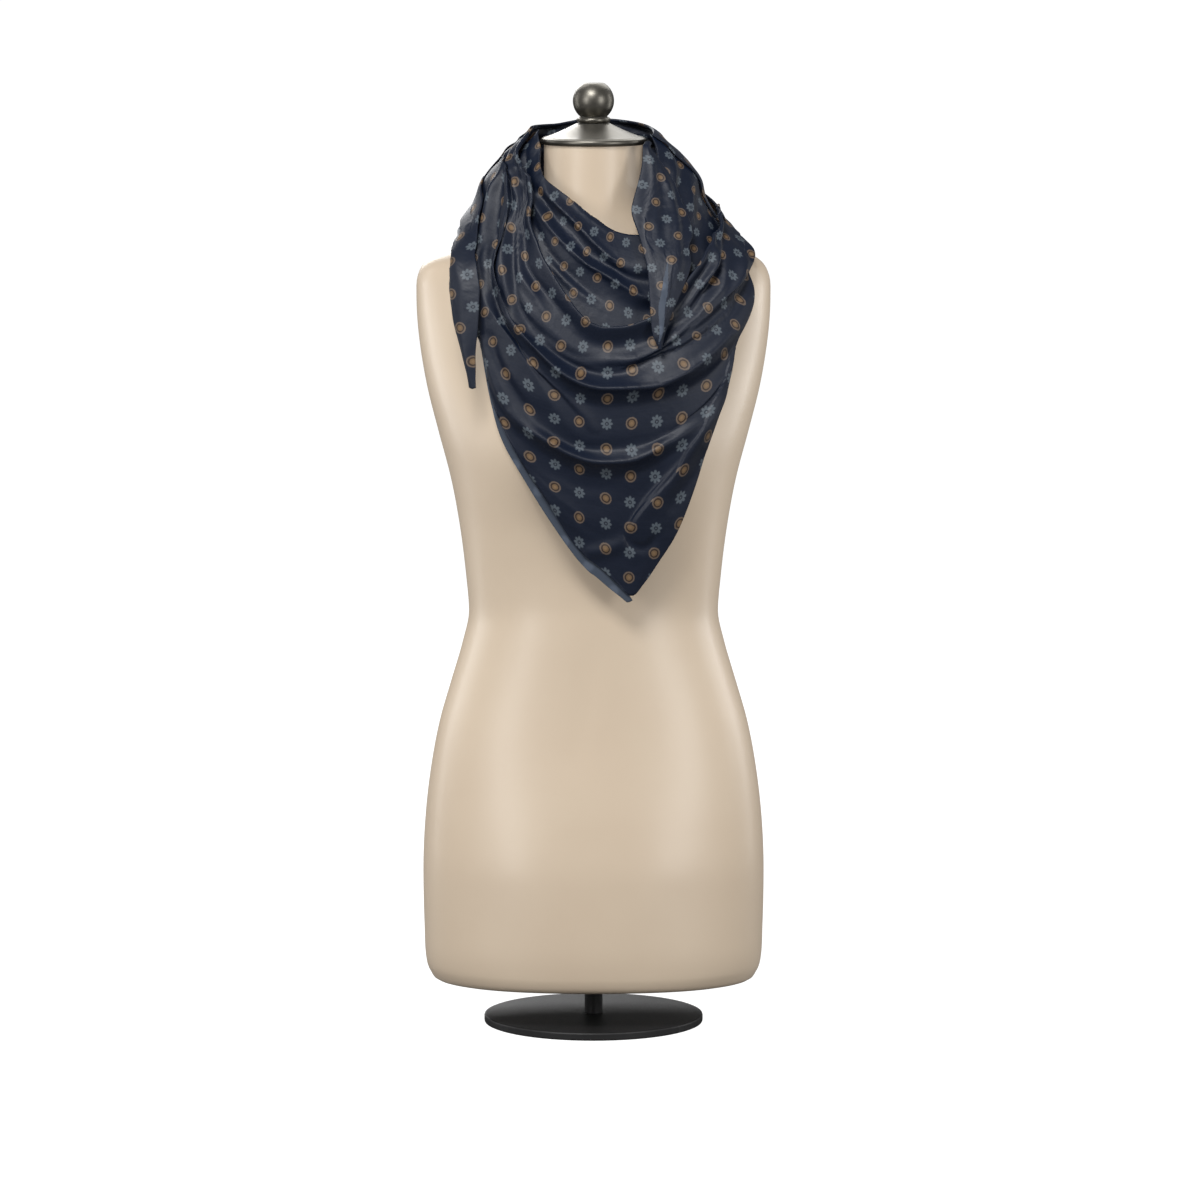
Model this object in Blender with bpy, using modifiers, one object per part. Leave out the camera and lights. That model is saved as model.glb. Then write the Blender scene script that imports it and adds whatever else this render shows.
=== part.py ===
"""Square scarf folded corner to corner, worn as a cowl on a limbless dress form.

Metres, +Z up. The front of the form looks along -Y, and the origin is the middle of
the underside of the base. Sizes below are real ones, in millimetres, and MM turns them
to metres where a mesh is made.
"""
import math

import bmesh
import bpy
import numpy as np

MM = 0.001
GAP = 0.3

# Scarf: a 90 cm square folded once, so every wall is two layers of satin and the air between
CLOTH = 2.0

# Base, pole and the height of the torso's underside
BASE_RADIUS = 110.0
BASE_THICKNESS = 8.0
BASE_EDGE = 1.5
POLE_RADIUS = 9.0
TORSO_FOOT = 43.0

# Neck and the metal on top of it
NECK_RADIUS = 49.0
NECK_TOP = 882.0
CAP_RADIUS = 52.5
CAP_RIM = 6.0
CAP_STEP = 1.0
CAP_CONE = 13.5
CAP_LIP = 3.0
CONE_SWELL = 1.25
COLLAR_RADIUS = 17.0
COLLAR_HEIGHT = 6.5
BALL_RADIUS = 20.5
BALL_STEM = 13.5
BALL_TOP_RADIUS = 10.5

# Edges that turn by more degrees than this stay sharp
SHARP_EDGE = 40.0

# Torso sections: height, half width, front depth, back depth, squareness of the section
TORSO = (
    (TORSO_FOOT, 147, 86, 90, 2.3),
    (45.5, 157, 95, 99, 2.3),
    (52, 163.5, 101, 105, 2.3),
    (64, 168, 104, 108, 2.3),
    (100, 170, 106, 110, 2.3),
    (155, 171, 106, 112, 2.3),
    (205, 169, 102, 108, 2.3),
    (255, 163.5, 96, 100, 2.3),
    (306, 154, 90, 92, 2.3),
    (346, 142.5, 87, 86, 2.3),
    (387, 130.5, 86, 82, 2.3),
    (417, 124.5, 86, 80, 2.3),
    (450, 127, 89, 80, 2.3),
    (500, 133, 98, 82, 2.3),
    (550, 142, 106, 86, 2.35),
    (600, 155, 110, 90, 2.4),
    (640, 165, 107, 92, 2.4),
    (680, 172, 98, 93, 2.4),
    (715, 175.5, 89, 92, 2.4),
    (742, 176, 81, 88, 2.4),
    (757, 173, 77, 83, 2.4),
    (766, 167, 74, 79, 2.4),
    (772, 158, 72, 76, 2.35),
    (779, 138, 68, 71, 2.3),
    (789, 110, 62, 65, 2.25),
    (799, 84, 57, 60, 2.15),
    (809, 65, 53, 55, 2.1),
    (822, 53, 50, 51, 2.0),
    (842, NECK_RADIUS, 48.5, NECK_RADIUS, 2.0),
    (NECK_TOP, NECK_RADIUS, NECK_RADIUS, NECK_RADIUS, 2.0),
)
TORSO_SIDES = 40
BUST_HEIGHT = 596.0
BUST_SPREAD = 68.0
BUST_FORWARD = 18.9
BUST_WIDTH = 40.0
BUST_TALL = 62.0

# The worn cloth lies on this figure: height, half width, front depth, back depth
FIGURE = (
    (430, 200, 112, 100),
    (500, 200, 119, 104),
    (560, 200, 125, 108),
    (600, 198, 128.5, 110),
    (640, 195, 129, 112),
    (680, 190, 126, 108),
    (720, 189, 119, 100),
    (755, 185, 108, 93),
    (770, 176, 102, 86),
    (780, 162, 97, 80),
    (790, 145, 92, 74),
    (809, 127, 82, 66),
    (829, 113, 72, 60),
    (848, 105, 63, 57),
    (868, 89, 57, 56),
    (890, 66, 54, 56),
    (900, 55, 52, 56),
    (908, 45, 50, 55),
)
FIGURE_SQUARENESS = 2.3

# A sheet is a table of folds, from its top edge down, and a fold is followed across the
# sheet by its (angle, height, lift) at the stations. The angle goes round the figure, 0 in
# front and minus on the wearer's right, and the lift is how far the fold stands off it.

# Outer sheet, from the rolled edge of the cowl to the point of the triangle. Stations:
# right shoulder, right side of the neck, right collar, right breast, two at the bottom of
# the swag, left breast, left shoulder or edge
FRONT_BIB = (
    ("rolled_edge", (-93, 900, 4), (-34, 852, 7), (-26, 812, 8), (-12, 770, 8),
     (2, 709, 9), (13, 717, 9), (36, 777, 8), (84, 822, 6)),
    ("tuck_below_edge", (-93, 895, 2), (-39, 850, 2), (-29, 806, 1), (-16, 757, 0),
     (2, 692, 0), (14, 699, 0), (38, 762, 0), (85, 817, 1)),
    ("first_swag", (-93, 890, 4), (-43, 849, 6), (-33, 797, 5), (-19, 736, 4),
     (2, 678, 5), (15, 688, 6), (38, 742, 6), (80, 795, 5)),
    ("first_valley", (-93, 885, 2), (-46, 846, 2), (-35, 785, 1), (-20, 716, 1),
     (3, 667, 0), (16, 683, 1), (34, 720, 1), (57, 772, 3)),
    ("great_swag", (-93, 879, 5), (-50, 856, 9), (-31, 784, 9), (-18, 708, 9),
     (2, 652, 11), (17, 659, 11), (33, 682, 8), (52, 729, 5)),
    ("great_valley", (-93, 866, 2), (-54, 846, 3), (-33, 769, 2), (-20, 697, 1),
     (2, 632, 1), (18, 640, 1), (32, 660, 1), (45, 694, 2)),
    ("panel_edge", (-93, 850, 3), (-58, 834, 5), (-36, 752, 6), (-21, 698, 6),
     (0, 604, 3), (16, 612, 2), (29, 634, 3), (42, 674, 3)),
    ("panel", (-52, 790, 2), (-39, 742, 3), (-31, 700, 3), (-20, 646, 3),
     (0, 592, 1), (14, 600, 1), (27, 626, 2), (40, 656, 2)),
    ("low_swag", (-34, 705, 2), (-29, 676, 3), (-24, 645, 4), (-15, 611, 7),
     (2, 579, 9), (13, 588, 8), (30, 620, 5), (38, 638, 1)),
    ("low_valley", (-29, 660, 1), (-27, 640, 2), (-22, 612, 2), (-13, 588, 1),
     (2, 561, 1), (13, 571, 1), (28, 605, 6), (35, 618, 0)),
    ("above_point", (-24, 617, 1), (-21, 600, 3), (-16, 579, 3), (-9, 559, 3),
     (2, 541, 2), (12, 551, 1), (23, 583, 6), (31, 590, 0)),
    ("high_point", (-17.5, 577, 1), (-15, 568, 3), (-11, 555, 3), (-6, 539, 3),
     (1, 523, 2), (8, 528, 1), (16, 550, 6), (26, 549, 1)),
    ("middle_point", (-10, 537, 1), (-8, 531, 2), (-5, 523, 2), (-1, 511, 1),
     (3, 500, 0), (6.5, 505, 1), (10, 518, 6), (20.5, 507, 2)),
    ("low_point", (-3, 493, 0), (-1.5, 490, 0), (0, 485, 0), (2, 479, 0),
     (4.5, 473, 0), (7.5, 474, 1), (11, 478, 2), (14.5, 473, 0)),
    ("tip", (7, 448, 0), (7.3, 447, 0), (7.6, 446, 0), (8, 445, 0),
     (8.4, 445, 0), (8.8, 445, 0), (9.2, 446, 0), (9.6, 447, 0)),
)

# Inner sheet, from the open neckline down to where it goes under the outer one, at the
# same stations
NECK_BAND = (
    ("neckline", (-80, 897, -3), (-52, 876, -15), (-28, 853, -7), (-7, 828, -5),
     (8, 800, -5), (17, 797, -5), (30, 846, -5), (72, 893, -4)),
    ("collar_ridge", (-80, 892, -4), (-52, 869, -13), (-26, 841, -3), (-6.5, 812, -1),
     (5, 777, 0), (14, 768, 0), (34, 832, -1), (73, 884, 0)),
    ("collar_valley", (-80, 887, -6), (-52, 862, -14), (-28, 833, -7), (-8, 801, -6),
     (3.5, 768, -6), (14, 754, -6), (36, 818, -6), (75, 872, -3)),
    ("cowl_ridge", (-80, 882, -6), (-50, 855, -9), (-31, 830, -2), (-10, 791, -1),
     (1, 765, 0), (14.5, 739, 0), (38, 802, -1), (78, 856, 1)),
    ("cowl_valley", (-80, 877, -9), (-52, 847, -11), (-33, 815, -8), (-12, 775, -7),
     (1.5, 740, -7), (14, 724, -7), (40, 788, -6), (81, 837, -3)),
    ("hidden_edge", (-80, 872, -10), (-54, 838, -12), (-35, 800, -9), (-15, 752, -9),
     (2, 694, -2.6), (14, 700, -2.6), (42, 766, -6), (84, 816, -6)),
)

# Ends of the scarf that come round the neck and hang in front, from the neck down to the
# tip. Stations: edge nearer the middle, ridge, outer edge
LEFT_TAIL = (
    ("collar", (44, 893, 1), (48, 893, 3), (53, 892, 1)),
    ("gathered", (36, 882, 3), (39, 882, 6), (43, 880, 3)),
    ("beside_cap", (28.6, 869, 4), (34, 870, 9), (42, 866, 5)),
    ("beside_neck", (21.3, 850, 5), (30, 852, 11), (42, 852, 7)),
    ("bulge", (16.6, 831, 6), (27, 834, 13), (43, 831, 8)),
    ("hollow", (14.7, 817, 7), (25, 816, 13), (42, 812, 9)),
    ("neckline", (15.2, 796, 8), (24, 796, 14), (38, 797, 10)),
    ("chest", (13.6, 775, 11), (21, 778, 16), (31, 782, 8.6)),
    ("narrow", (13.2, 745, 12), (17.5, 748, 17), (24, 753, 10.5)),
    ("low", (13.4, 722, 13), (16.5, 722, 17), (20, 730, 13)),
    ("point", (13.9, 703, 13), (15.6, 703, 16), (17.3, 706, 13)),
    ("tip", (15.6, 689, 13), (15.9, 689, 13.5), (16.2, 690, 13)),
)
RIGHT_TAIL = (
    ("back", (-125, 842, 6), (-125, 822, 7), (-125, 796, 4)),
    ("shoulder", (-92, 850, 4.5), (-92, 820, 2), (-92, 802, -3)),
    ("turn", (-66, 834, 7.5), (-72, 812, 6), (-79, 800, 0)),
    ("over_shoulder", (-55, 815, 11), (-59, 805, 11), (-66, 796, 5)),
    ("shoulder_front", (-44, 790, 12), (-50, 786, 15), (-56.5, 788, 12)),
    ("shoulder_edge", (-35, 772, 12), (-41, 770, 15), (-46.5, 774, 12)),
    ("chest", (-32, 759, 12), (-37.5, 757, 16), (-43, 761, 12)),
    ("hang", (-30.6, 742, 12), (-36, 742, 16), (-41, 743, 13)),
    ("narrow", (-30.8, 712, 12), (-35.5, 712, 15), (-39, 714, 13)),
    ("point", (-31.6, 684, 12), (-34.5, 684, 15), (-36, 685, 13)),
    ("low", (-31, 664, 12), (-32.5, 664, 14), (-33.7, 665, 13)),
    ("tip", (-30.3, 651, 13), (-31.3, 650, 13.5), (-32.4, 651, 13)),
)

# Back of the neck, where the two bundles cross: the first against the neck, the second
# over it. Stations: right shoulder, right of the nape, nape, left of the nape, left shoulder
BACK_WRAP_UNDER = (
    ("top_edge", (-93.6, 900, 4), (-140, 900, 3), (-180, 905, 2), (-225, 902, 3), (-287.6, 893, -4)),
    ("top_ridge", (-93.6, 895, 2), (-140, 896, 5), (-180, 898, 5), (-225, 896, 6), (-287.2, 888.5, -2)),
    ("top_valley", (-93.6, 890, 4), (-140, 888, 0), (-180, 889, 0), (-225, 887, 1), (-286.6, 884, 0)),
    ("ridge", (-93.6, 885, 2), (-140, 879, 5), (-180, 879, 5), (-225, 876, 6), (-284.6, 872, -3)),
    ("valley", (-93.6, 879, 5), (-140, 870, 0), (-180, 868, 0), (-225, 865, 1), (-281.6, 856, 1)),
    ("low_ridge", (-93.6, 866, 2), (-140, 860, 3), (-180, 856, 3), (-225, 850, 3), (-278.6, 837, -3)),
    ("hidden_edge", (-93.6, 850, 3), (-140, 848, 0), (-180, 845, -1), (-225, 838, -2), (-275.6, 816, -6)),
)
BACK_WRAP_OVER = (
    ("top_edge", (-125.6, 842, 6), (-150, 858, 9), (-185, 866, 10), (-230, 840, 7), (-275.6, 815, 2)),
    ("top_ridge", (-125.6, 833, 8), (-150, 846, 12), (-185, 852, 14), (-230, 828, 9), (-274.8, 811, 2)),
    ("valley", (-125.6, 822, 7), (-150, 832, 8), (-185, 836, 9), (-230, 817, 6), (-275, 806, 1)),
    ("low_ridge", (-125.6, 809, 8), (-150, 814, 9), (-185, 817, 9), (-230, 808, 6), (-276, 800, 2)),
    ("low_edge", (-125.6, 796, 4), (-150, 797, 0), (-185, 798, -9.5), (-230, 798, 0), (-277.5, 794, 4)),
)

# Second layer of the folded square, which shows as a strip beside the edge on the wearer's
# right. Stations: outer edge, middle, hidden edge
UNDER_LAYER = (
    ("top", (-33, 692, -1.6), (-31, 689, -1.6), (-27, 684, -1.6)),
    ("upper", (-28.5, 643, -1.6), (-26.5, 640, -1.6), (-23, 635, -1.6)),
    ("middle", (-24, 601, -1.6), (-21.5, 597, -1.6), (-18, 591, -1.6)),
    ("low", (-17, 561, -1.6), (-14, 556, -1.6), (-10, 549, -1.6)),
    ("lower", (-10, 521, -1.8), (-7, 515.5, -1.8), (-3, 508, -2.2)),
    ("near_tip", (-3, 481, -2.6), (0, 475, -2.6), (4, 468, -2.6)),
    ("bottom", (2, 457, -2.6), (4.5, 454, -2.6), (7, 451, -2.6)),
    ("tip", (7.4, 438, -2.6), (8.1, 438.5, -2.6), (8.8, 440, -2.6)),
)

# Finishes: colour, roughness, metallic
FINISHES = {
    "satin": ((0.014, 0.020, 0.035), 0.42, 0.0),
    "satin_reverse": ((0.060, 0.080, 0.115), 0.55, 0.0),
    "form_skin": ((0.610, 0.495, 0.385), 0.35, 0.0),
    "gunmetal": ((0.060, 0.058, 0.052), 0.30, 1.0),
    "black_steel": ((0.020, 0.020, 0.020), 0.45, 0.6),
}


def clear_scene():
    for thing in list(bpy.data.objects):
        bpy.data.objects.remove(thing, do_unlink=True)


def new_collection(name):
    collection = bpy.data.collections.new(name)
    bpy.context.scene.collection.children.link(collection)
    return collection


def new_finish(name):
    colour, roughness, metallic = FINISHES[name]
    finish = bpy.data.materials.new(name)
    finish.use_nodes = True
    shader = finish.node_tree.nodes["Principled BSDF"]
    shader.inputs["Base Color"].default_value = (*colour, 1.0)
    shader.inputs["Roughness"].default_value = roughness
    shader.inputs["Metallic"].default_value = metallic
    return finish


def add_object(name, mesh, finish, collection):
    piece = bpy.data.objects.new(name, mesh)
    piece.data.materials.append(finish)
    collection.objects.link(piece)
    return piece


def smooth_curve(places, values, at):
    """Smooth curve through values at rising places that never overshoots between them."""
    places = np.asarray(places, float)
    values = np.asarray(values, float)
    slopes = np.diff(values) / np.diff(places)
    turns = np.concatenate([slopes[:1], (slopes[1:] + slopes[:-1]) / 2, slopes[-1:]])
    before, after = slopes[:-1], slopes[1:]
    limit = 3 * np.minimum(abs(before), abs(after))
    inner = np.sign(turns[1:-1]) * np.minimum(abs(turns[1:-1]), limit)
    turns[1:-1] = np.where(before * after > 0, inner, 0.0)
    at = np.clip(at, places[0], places[-1])
    span = np.clip(np.searchsorted(places, at) - 1, 0, len(places) - 2)
    width = places[span + 1] - places[span]
    t = (at - places[span]) / width
    start = (1 + 2 * t) * (1 - t) ** 2 * values[span] + t * (1 - t) ** 2 * width * turns[span]
    end = t * t * (3 - 2 * t) * values[span + 1] + t * t * (t - 1) * width * turns[span + 1]
    return start + end


def section_point(half_width, front, back, squareness, turn):
    """Point of a rounded section; turn 0 is in front, -90 on the wearer's right."""
    across, forward = math.sin(turn), math.cos(turn)
    depth = front if forward > 0 else back
    power = 2 / squareness
    x = half_width * math.copysign(abs(across) ** power, across)
    y = -depth * math.copysign(abs(forward) ** power, forward)
    return x, y


def bust(x, y, height):
    """How far the chest is moulded forward here."""
    side = math.exp(-((abs(x) - BUST_SPREAD) / BUST_WIDTH) ** 2)
    level = math.exp(-((height - BUST_HEIGHT) / BUST_TALL) ** 2)
    return BUST_FORWARD * side * level if y < 0 else 0.0


def torso_mesh():
    """Loft through the torso's sections, closed flat at the foot and under the neck cap."""
    bm = bmesh.new()
    rings = []
    for height, half_width, front, back, squareness in TORSO:
        ring = []
        for side in range(TORSO_SIDES):
            turn = 2 * math.pi * side / TORSO_SIDES
            x, y = section_point(half_width, front, back, squareness, turn)
            ring.append(bm.verts.new((x * MM, (y - bust(x, y, height)) * MM, height * MM)))
        rings.append(ring)
    for low, high in zip(rings, rings[1:]):
        for side in range(TORSO_SIDES):
            after = (side + 1) % TORSO_SIDES
            bm.faces.new((low[side], low[after], high[after], high[side]))
    bm.faces.new(list(reversed(rings[0])))
    bm.faces.new(rings[-1])
    mesh = bpy.data.meshes.new("form_torso")
    bm.to_mesh(mesh)
    bm.free()
    mesh.shade_smooth()
    mesh.set_sharp_from_angle(angle=math.radians(SHARP_EDGE))
    return mesh


def turned_piece(name, profile, finish, collection, sides=40):
    """Screw a profile of (radius, height), outer side from top to bottom, round the axis."""
    bm = bmesh.new()
    points = [bm.verts.new((radius * MM, 0, height * MM)) for radius, height in profile]
    for first, second in zip(points, points[1:]):
        bm.edges.new((first, second))
    mesh = bpy.data.meshes.new(name)
    bm.to_mesh(mesh)
    bm.free()
    piece = add_object(name, mesh, finish, collection)
    screw = piece.modifiers.new("Turn", "SCREW")
    screw.axis = "Z"
    screw.steps = sides
    screw.render_steps = sides
    screw.use_merge_vertices = True
    screw.merge_threshold = 0.0001
    screw.use_smooth_shade = True
    return piece


def neck_cap_profile():
    """Bell plate: a cone that swells out to a rim lying on the neck."""
    foot = NECK_TOP + GAP
    rim_top = foot + CAP_RIM
    slope = []
    for step in range(7):
        share = step / 6
        radius = COLLAR_RADIUS + (CAP_RADIUS - CAP_LIP - COLLAR_RADIUS) * share
        slope.append((radius, rim_top + CAP_STEP + CAP_CONE * (1 - share) ** CONE_SWELL))
    rim = [(CAP_RADIUS - 1, rim_top), (CAP_RADIUS, rim_top - 2), (CAP_RADIUS, foot + 1.5), (CAP_RADIUS - 1.5, foot)]
    return [(0, slope[0][1])] + slope + rim + [(0, foot)]


def ball_profile(foot):
    """Short stem, ball and the small flat on top of it."""
    centre = foot + math.sqrt(BALL_RADIUS ** 2 - BALL_STEM ** 2)
    start = math.asin(BALL_TOP_RADIUS / BALL_RADIUS)
    end = math.pi - math.asin(BALL_STEM / BALL_RADIUS)
    arc = []
    for step in range(15):
        turn = start + (end - start) * step / 14
        arc.append((BALL_RADIUS * math.sin(turn), centre + BALL_RADIUS * math.cos(turn)))
    return [(0, arc[0][1])] + arc + [(0, foot)]


def build_form(collection, skin, metal, steel):
    """Dress form: base, pole, torso, and the cap, collar and ball on the neck."""
    bpy.ops.mesh.primitive_cylinder_add(
        vertices=64, radius=BASE_RADIUS * MM, depth=BASE_THICKNESS * MM,
        location=(0, 0, BASE_THICKNESS * MM / 2))
    base = take_primitive("form_base", steel, collection)
    edge = base.modifiers.new("Eased edge", "BEVEL")
    edge.width = BASE_EDGE * MM
    edge.segments = 2
    edge.limit_method = "ANGLE"

    pole_foot = BASE_THICKNESS + GAP
    pole_length = TORSO_FOOT - GAP - pole_foot
    bpy.ops.mesh.primitive_cylinder_add(
        vertices=32, radius=POLE_RADIUS * MM, depth=pole_length * MM,
        location=(0, 0, (pole_foot + pole_length / 2) * MM))
    take_primitive("form_pole", steel, collection)

    add_object("form_torso", torso_mesh(), skin, collection)

    cap = neck_cap_profile()
    cap_top = cap[0][1]
    turned_piece("form_neck_cap", cap, metal, collection)
    collar_foot = cap_top + GAP
    collar_top = collar_foot + COLLAR_HEIGHT
    collar = [(0, collar_top), (COLLAR_RADIUS - 2.5, collar_top), (COLLAR_RADIUS - 0.5, collar_top - 1),
              (COLLAR_RADIUS, collar_top - 3), (COLLAR_RADIUS - 0.5, collar_foot + 1),
              (COLLAR_RADIUS - 2, collar_foot), (0, collar_foot)]
    turned_piece("form_collar", collar, metal, collection, sides=32)
    turned_piece("form_ball", ball_profile(collar_top + GAP), metal, collection, sides=32)


def take_primitive(name, finish, collection):
    """Name the primitive just added and move it to the part's collection."""
    piece = bpy.context.active_object
    piece.name = name
    piece.data.name = name
    piece.data.materials.append(finish)
    for home in list(piece.users_collection):
        home.objects.unlink(piece)
    collection.objects.link(piece)
    piece.data.shade_smooth()
    piece.data.set_sharp_from_angle(angle=math.radians(SHARP_EDGE))
    return piece


def figure_point(angle, height, lift):
    """Point of the worn cloth at this angle and height, lifted off the figure."""
    heights, widths, fronts, backs = np.transpose(FIGURE)
    half_width = smooth_curve(heights, widths, height) + lift
    front = smooth_curve(heights, fronts, height) + lift
    back = smooth_curve(heights, backs, height) + lift
    return section_point(half_width, front, back, FIGURE_SQUARENESS, math.radians(angle))


def sheet_points(folds, across, between):
    """Grid of points over a table of folds: across each fold, and between each two of them."""
    stations = np.array([fold[1:] for fold in folds], float)
    at_station = np.linspace(0, 1, stations.shape[1])
    along = np.linspace(0, 1, across + 1)
    at_fold = np.arange(len(folds))
    down = np.linspace(0, len(folds) - 1, (len(folds) - 1) * between + 1)
    grid = np.empty((len(down), across + 1, 3))
    for kind in range(3):
        lines = np.array([smooth_curve(at_station, fold[:, kind], along) for fold in stations])
        for column in range(across + 1):
            grid[:, column, kind] = smooth_curve(at_fold, lines[:, column], down)
    for row in grid:
        for place in row:
            angle, height, lift = place
            place[:] = (*figure_point(angle, height, lift), height)
    return grid * MM


def cloth_sheet(name, folds, finish, collection, across, between=2):
    """Open sheet over its folds, given the thickness of the cloth inwards."""
    grid = sheet_points(folds, across, between)
    bm = bmesh.new()
    points = [[bm.verts.new(place) for place in row] for row in grid]
    for upper, lower in zip(points, points[1:]):
        for left in range(across):
            bm.faces.new((upper[left], lower[left], lower[left + 1], upper[left + 1]))
    mesh = bpy.data.meshes.new(name)
    bm.to_mesh(mesh)
    bm.free()
    mesh.shade_smooth()
    sheet = add_object(name, mesh, finish, collection)
    wall = sheet.modifiers.new("Cloth", "SOLIDIFY")
    wall.thickness = CLOTH * MM
    wall.offset = -1
    return sheet


def build_scarf(collection, satin, reverse):
    """One sheet for each stretch of the scarf that shows, front to back."""
    cloth_sheet("scarf_front_bib", FRONT_BIB, satin, collection, across=38)
    cloth_sheet("scarf_neck_band", NECK_BAND, satin, collection, across=32)
    cloth_sheet("scarf_right_tail", RIGHT_TAIL, satin, collection, across=6)
    cloth_sheet("scarf_left_tail", LEFT_TAIL, satin, collection, across=6)
    cloth_sheet("scarf_back_wrap_under", BACK_WRAP_UNDER, satin, collection, across=26)
    cloth_sheet("scarf_back_wrap_over", BACK_WRAP_OVER, satin, collection, across=22)
    cloth_sheet("scarf_under_layer", UNDER_LAYER, reverse, collection, across=2, between=4)


def main():
    clear_scene()
    collection = new_collection("scarf_wrap_on_dress_form")
    finishes = {name: new_finish(name) for name in FINISHES}
    build_form(collection, finishes["form_skin"], finishes["gunmetal"], finishes["black_steel"])
    build_scarf(collection, finishes["satin"], finishes["satin_reverse"])


main()
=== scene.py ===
import math

import bpy
import mathutils
import numpy as np
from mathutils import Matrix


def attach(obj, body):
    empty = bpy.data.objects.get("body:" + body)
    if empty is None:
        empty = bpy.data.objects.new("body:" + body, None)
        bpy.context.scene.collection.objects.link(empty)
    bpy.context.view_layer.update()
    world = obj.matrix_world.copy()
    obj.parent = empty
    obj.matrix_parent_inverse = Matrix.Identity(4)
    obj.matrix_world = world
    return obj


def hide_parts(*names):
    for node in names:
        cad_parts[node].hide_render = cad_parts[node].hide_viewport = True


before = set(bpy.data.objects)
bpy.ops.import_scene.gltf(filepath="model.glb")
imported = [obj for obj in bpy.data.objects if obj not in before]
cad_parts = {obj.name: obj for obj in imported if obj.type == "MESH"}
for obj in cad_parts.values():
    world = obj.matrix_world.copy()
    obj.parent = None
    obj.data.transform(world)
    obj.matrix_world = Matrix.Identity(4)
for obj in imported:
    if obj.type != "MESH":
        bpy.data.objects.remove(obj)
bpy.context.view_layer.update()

# Sizes are real ones in millimetres, turned to metres where a mesh is made. The fold
# tables repeat the solids' own, because this file can't read theirs, and only the edges that
# lie hidden at the seams, and the top end of the left tail, are moved a little
MM = 0.001
LAYER = 0.9
SEED = 5

# The worn cloth lies on this figure: height, half width, front depth, back depth
FIGURE = (
    (430, 200, 112, 100), (500, 200, 119, 104), (560, 200, 125, 108), (600, 198, 128.5, 110),
    (640, 195, 129, 112), (680, 190, 126, 108), (720, 189, 119, 100), (755, 185, 108, 93),
    (770, 176, 102, 86), (780, 162, 97, 80), (790, 145, 92, 74), (809, 127, 82, 66),
    (829, 113, 72, 60), (848, 105, 63, 57), (868, 89, 57, 56), (890, 66, 54, 56),
    (900, 55, 52, 56), (908, 45, 50, 55),
)
FIGURE_SQUARENESS = 2.3

# Torso sections: height, half width, front depth, back depth, squareness of the section
TORSO = (
    (43, 147, 86, 90, 2.3),
    (45.5, 157, 95, 99, 2.3),
    (52, 163.5, 101, 105, 2.3),
    (64, 168, 104, 108, 2.3),
    (100, 170, 106, 110, 2.3),
    (155, 171, 106, 112, 2.3),
    (205, 169, 102, 108, 2.3),
    (255, 163.5, 96, 100, 2.3),
    (306, 154, 90, 92, 2.3),
    (346, 142.5, 87, 86, 2.3),
    (387, 130.5, 86, 82, 2.3),
    (417, 124.5, 86, 80, 2.3),
    (450, 127, 89, 80, 2.3),
    (500, 133, 98, 82, 2.3),
    (550, 142, 106, 86, 2.35),
    (600, 155, 110, 90, 2.4),
    (640, 165, 107, 92, 2.4),
    (680, 172, 98, 93, 2.4),
    (715, 175.5, 89, 92, 2.4),
    (742, 176, 81, 88, 2.4),
    (757, 173, 77, 83, 2.4),
    (766, 167, 74, 79, 2.4),
    (772, 158, 72, 76, 2.35),
    (779, 138, 68, 71, 2.3),
    (789, 110, 62, 65, 2.25),
    (799, 84, 57, 60, 2.15),
    (809, 65, 53, 55, 2.1),
    (822, 53, 50, 51, 2.0),
    (842, 49, 48.5, 49, 2.0),
    (882, 49, 49, 49, 2.0),
)

# Printed face: a square lattice holds a medallion and a floret by turns
PRINT_PITCH = 25.0
MOTIF_REACH = 8.0
MEDALLION_RADIUS = 5.9
FLORET_RADIUS = 6.2
PETALS = 8
PETAL_DEPTH = 3.0
INK_BLEED = 0.9

# Slubs of the satin's threads, drawn 1.6 mm wide because real 0.1 mm ones are too fine to show
SLUB_LONG = 22.0
SLUB_WIDE = 1.6

# Soft crumples left from folding the square lie about this far apart
CRUMPLE = 12.0

# Usual lift of the cloth off the figure, at which creases are drawn and nets are laid
CLOTH_LIFT = 5.0

# A degree round the figure is about this long
DEGREE = 2.5

# Plan of the flat cloth: even nets of these sizes on the figure, each one relaxed this many
# rounds and handed on to the finer one
NET_SIZES = (11, 21, 41)
NET_ROUNDS = 500
NET_PACE = 1.3
SLANT_THREAD = 0.25

# Close points along a crease lie this far apart, and slack cloth has this many slow waves
CREASE_STEP = 1.5
SLACK_WAVES = 9

# A tuck steps down over its sharp side, and hides the print beside its line, less and less
# over its reach
TUCK_STEP = 0.9
TUCK_DEPTH = 1.6
TUCK_REACH = 22.0

# Gathers take up more of the cloth's width, from none at the first height to all their share
# at the second
GATHER_HEIGHTS = (650.0, 790.0)

# Stretches narrower than this have lower creases
FULL_WIDTH = 40.0

# Hem, rolled to this radius, and how it runs out at its ends to the least radius
HEM = 1.1
NECKLINE_ROLL = 1.8
WRAP_ROLL = 1.2
HEM_RUN_OUT = 20.0
HEM_LEAST = 0.5

# A sheet laps the next one at a seam by this angle, and lies this much above it
SEAM_LAP = 2.4
SEAM_RISE = LAYER + 0.2

# How the print's rows sag across the front: height, places across, rise of the row there
BIB_DRIFT = ((540, (-100, -75, -35, 0, 40, 60, 75, 100, 125), (36, 27, 15, 6, 0, 0, 2, 12, 22)),
             (650, (-130, -110, -75, -35, 2, 50, 100, 140), (42, 34, 18, 1, 0, 5, 13, 26)))

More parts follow.
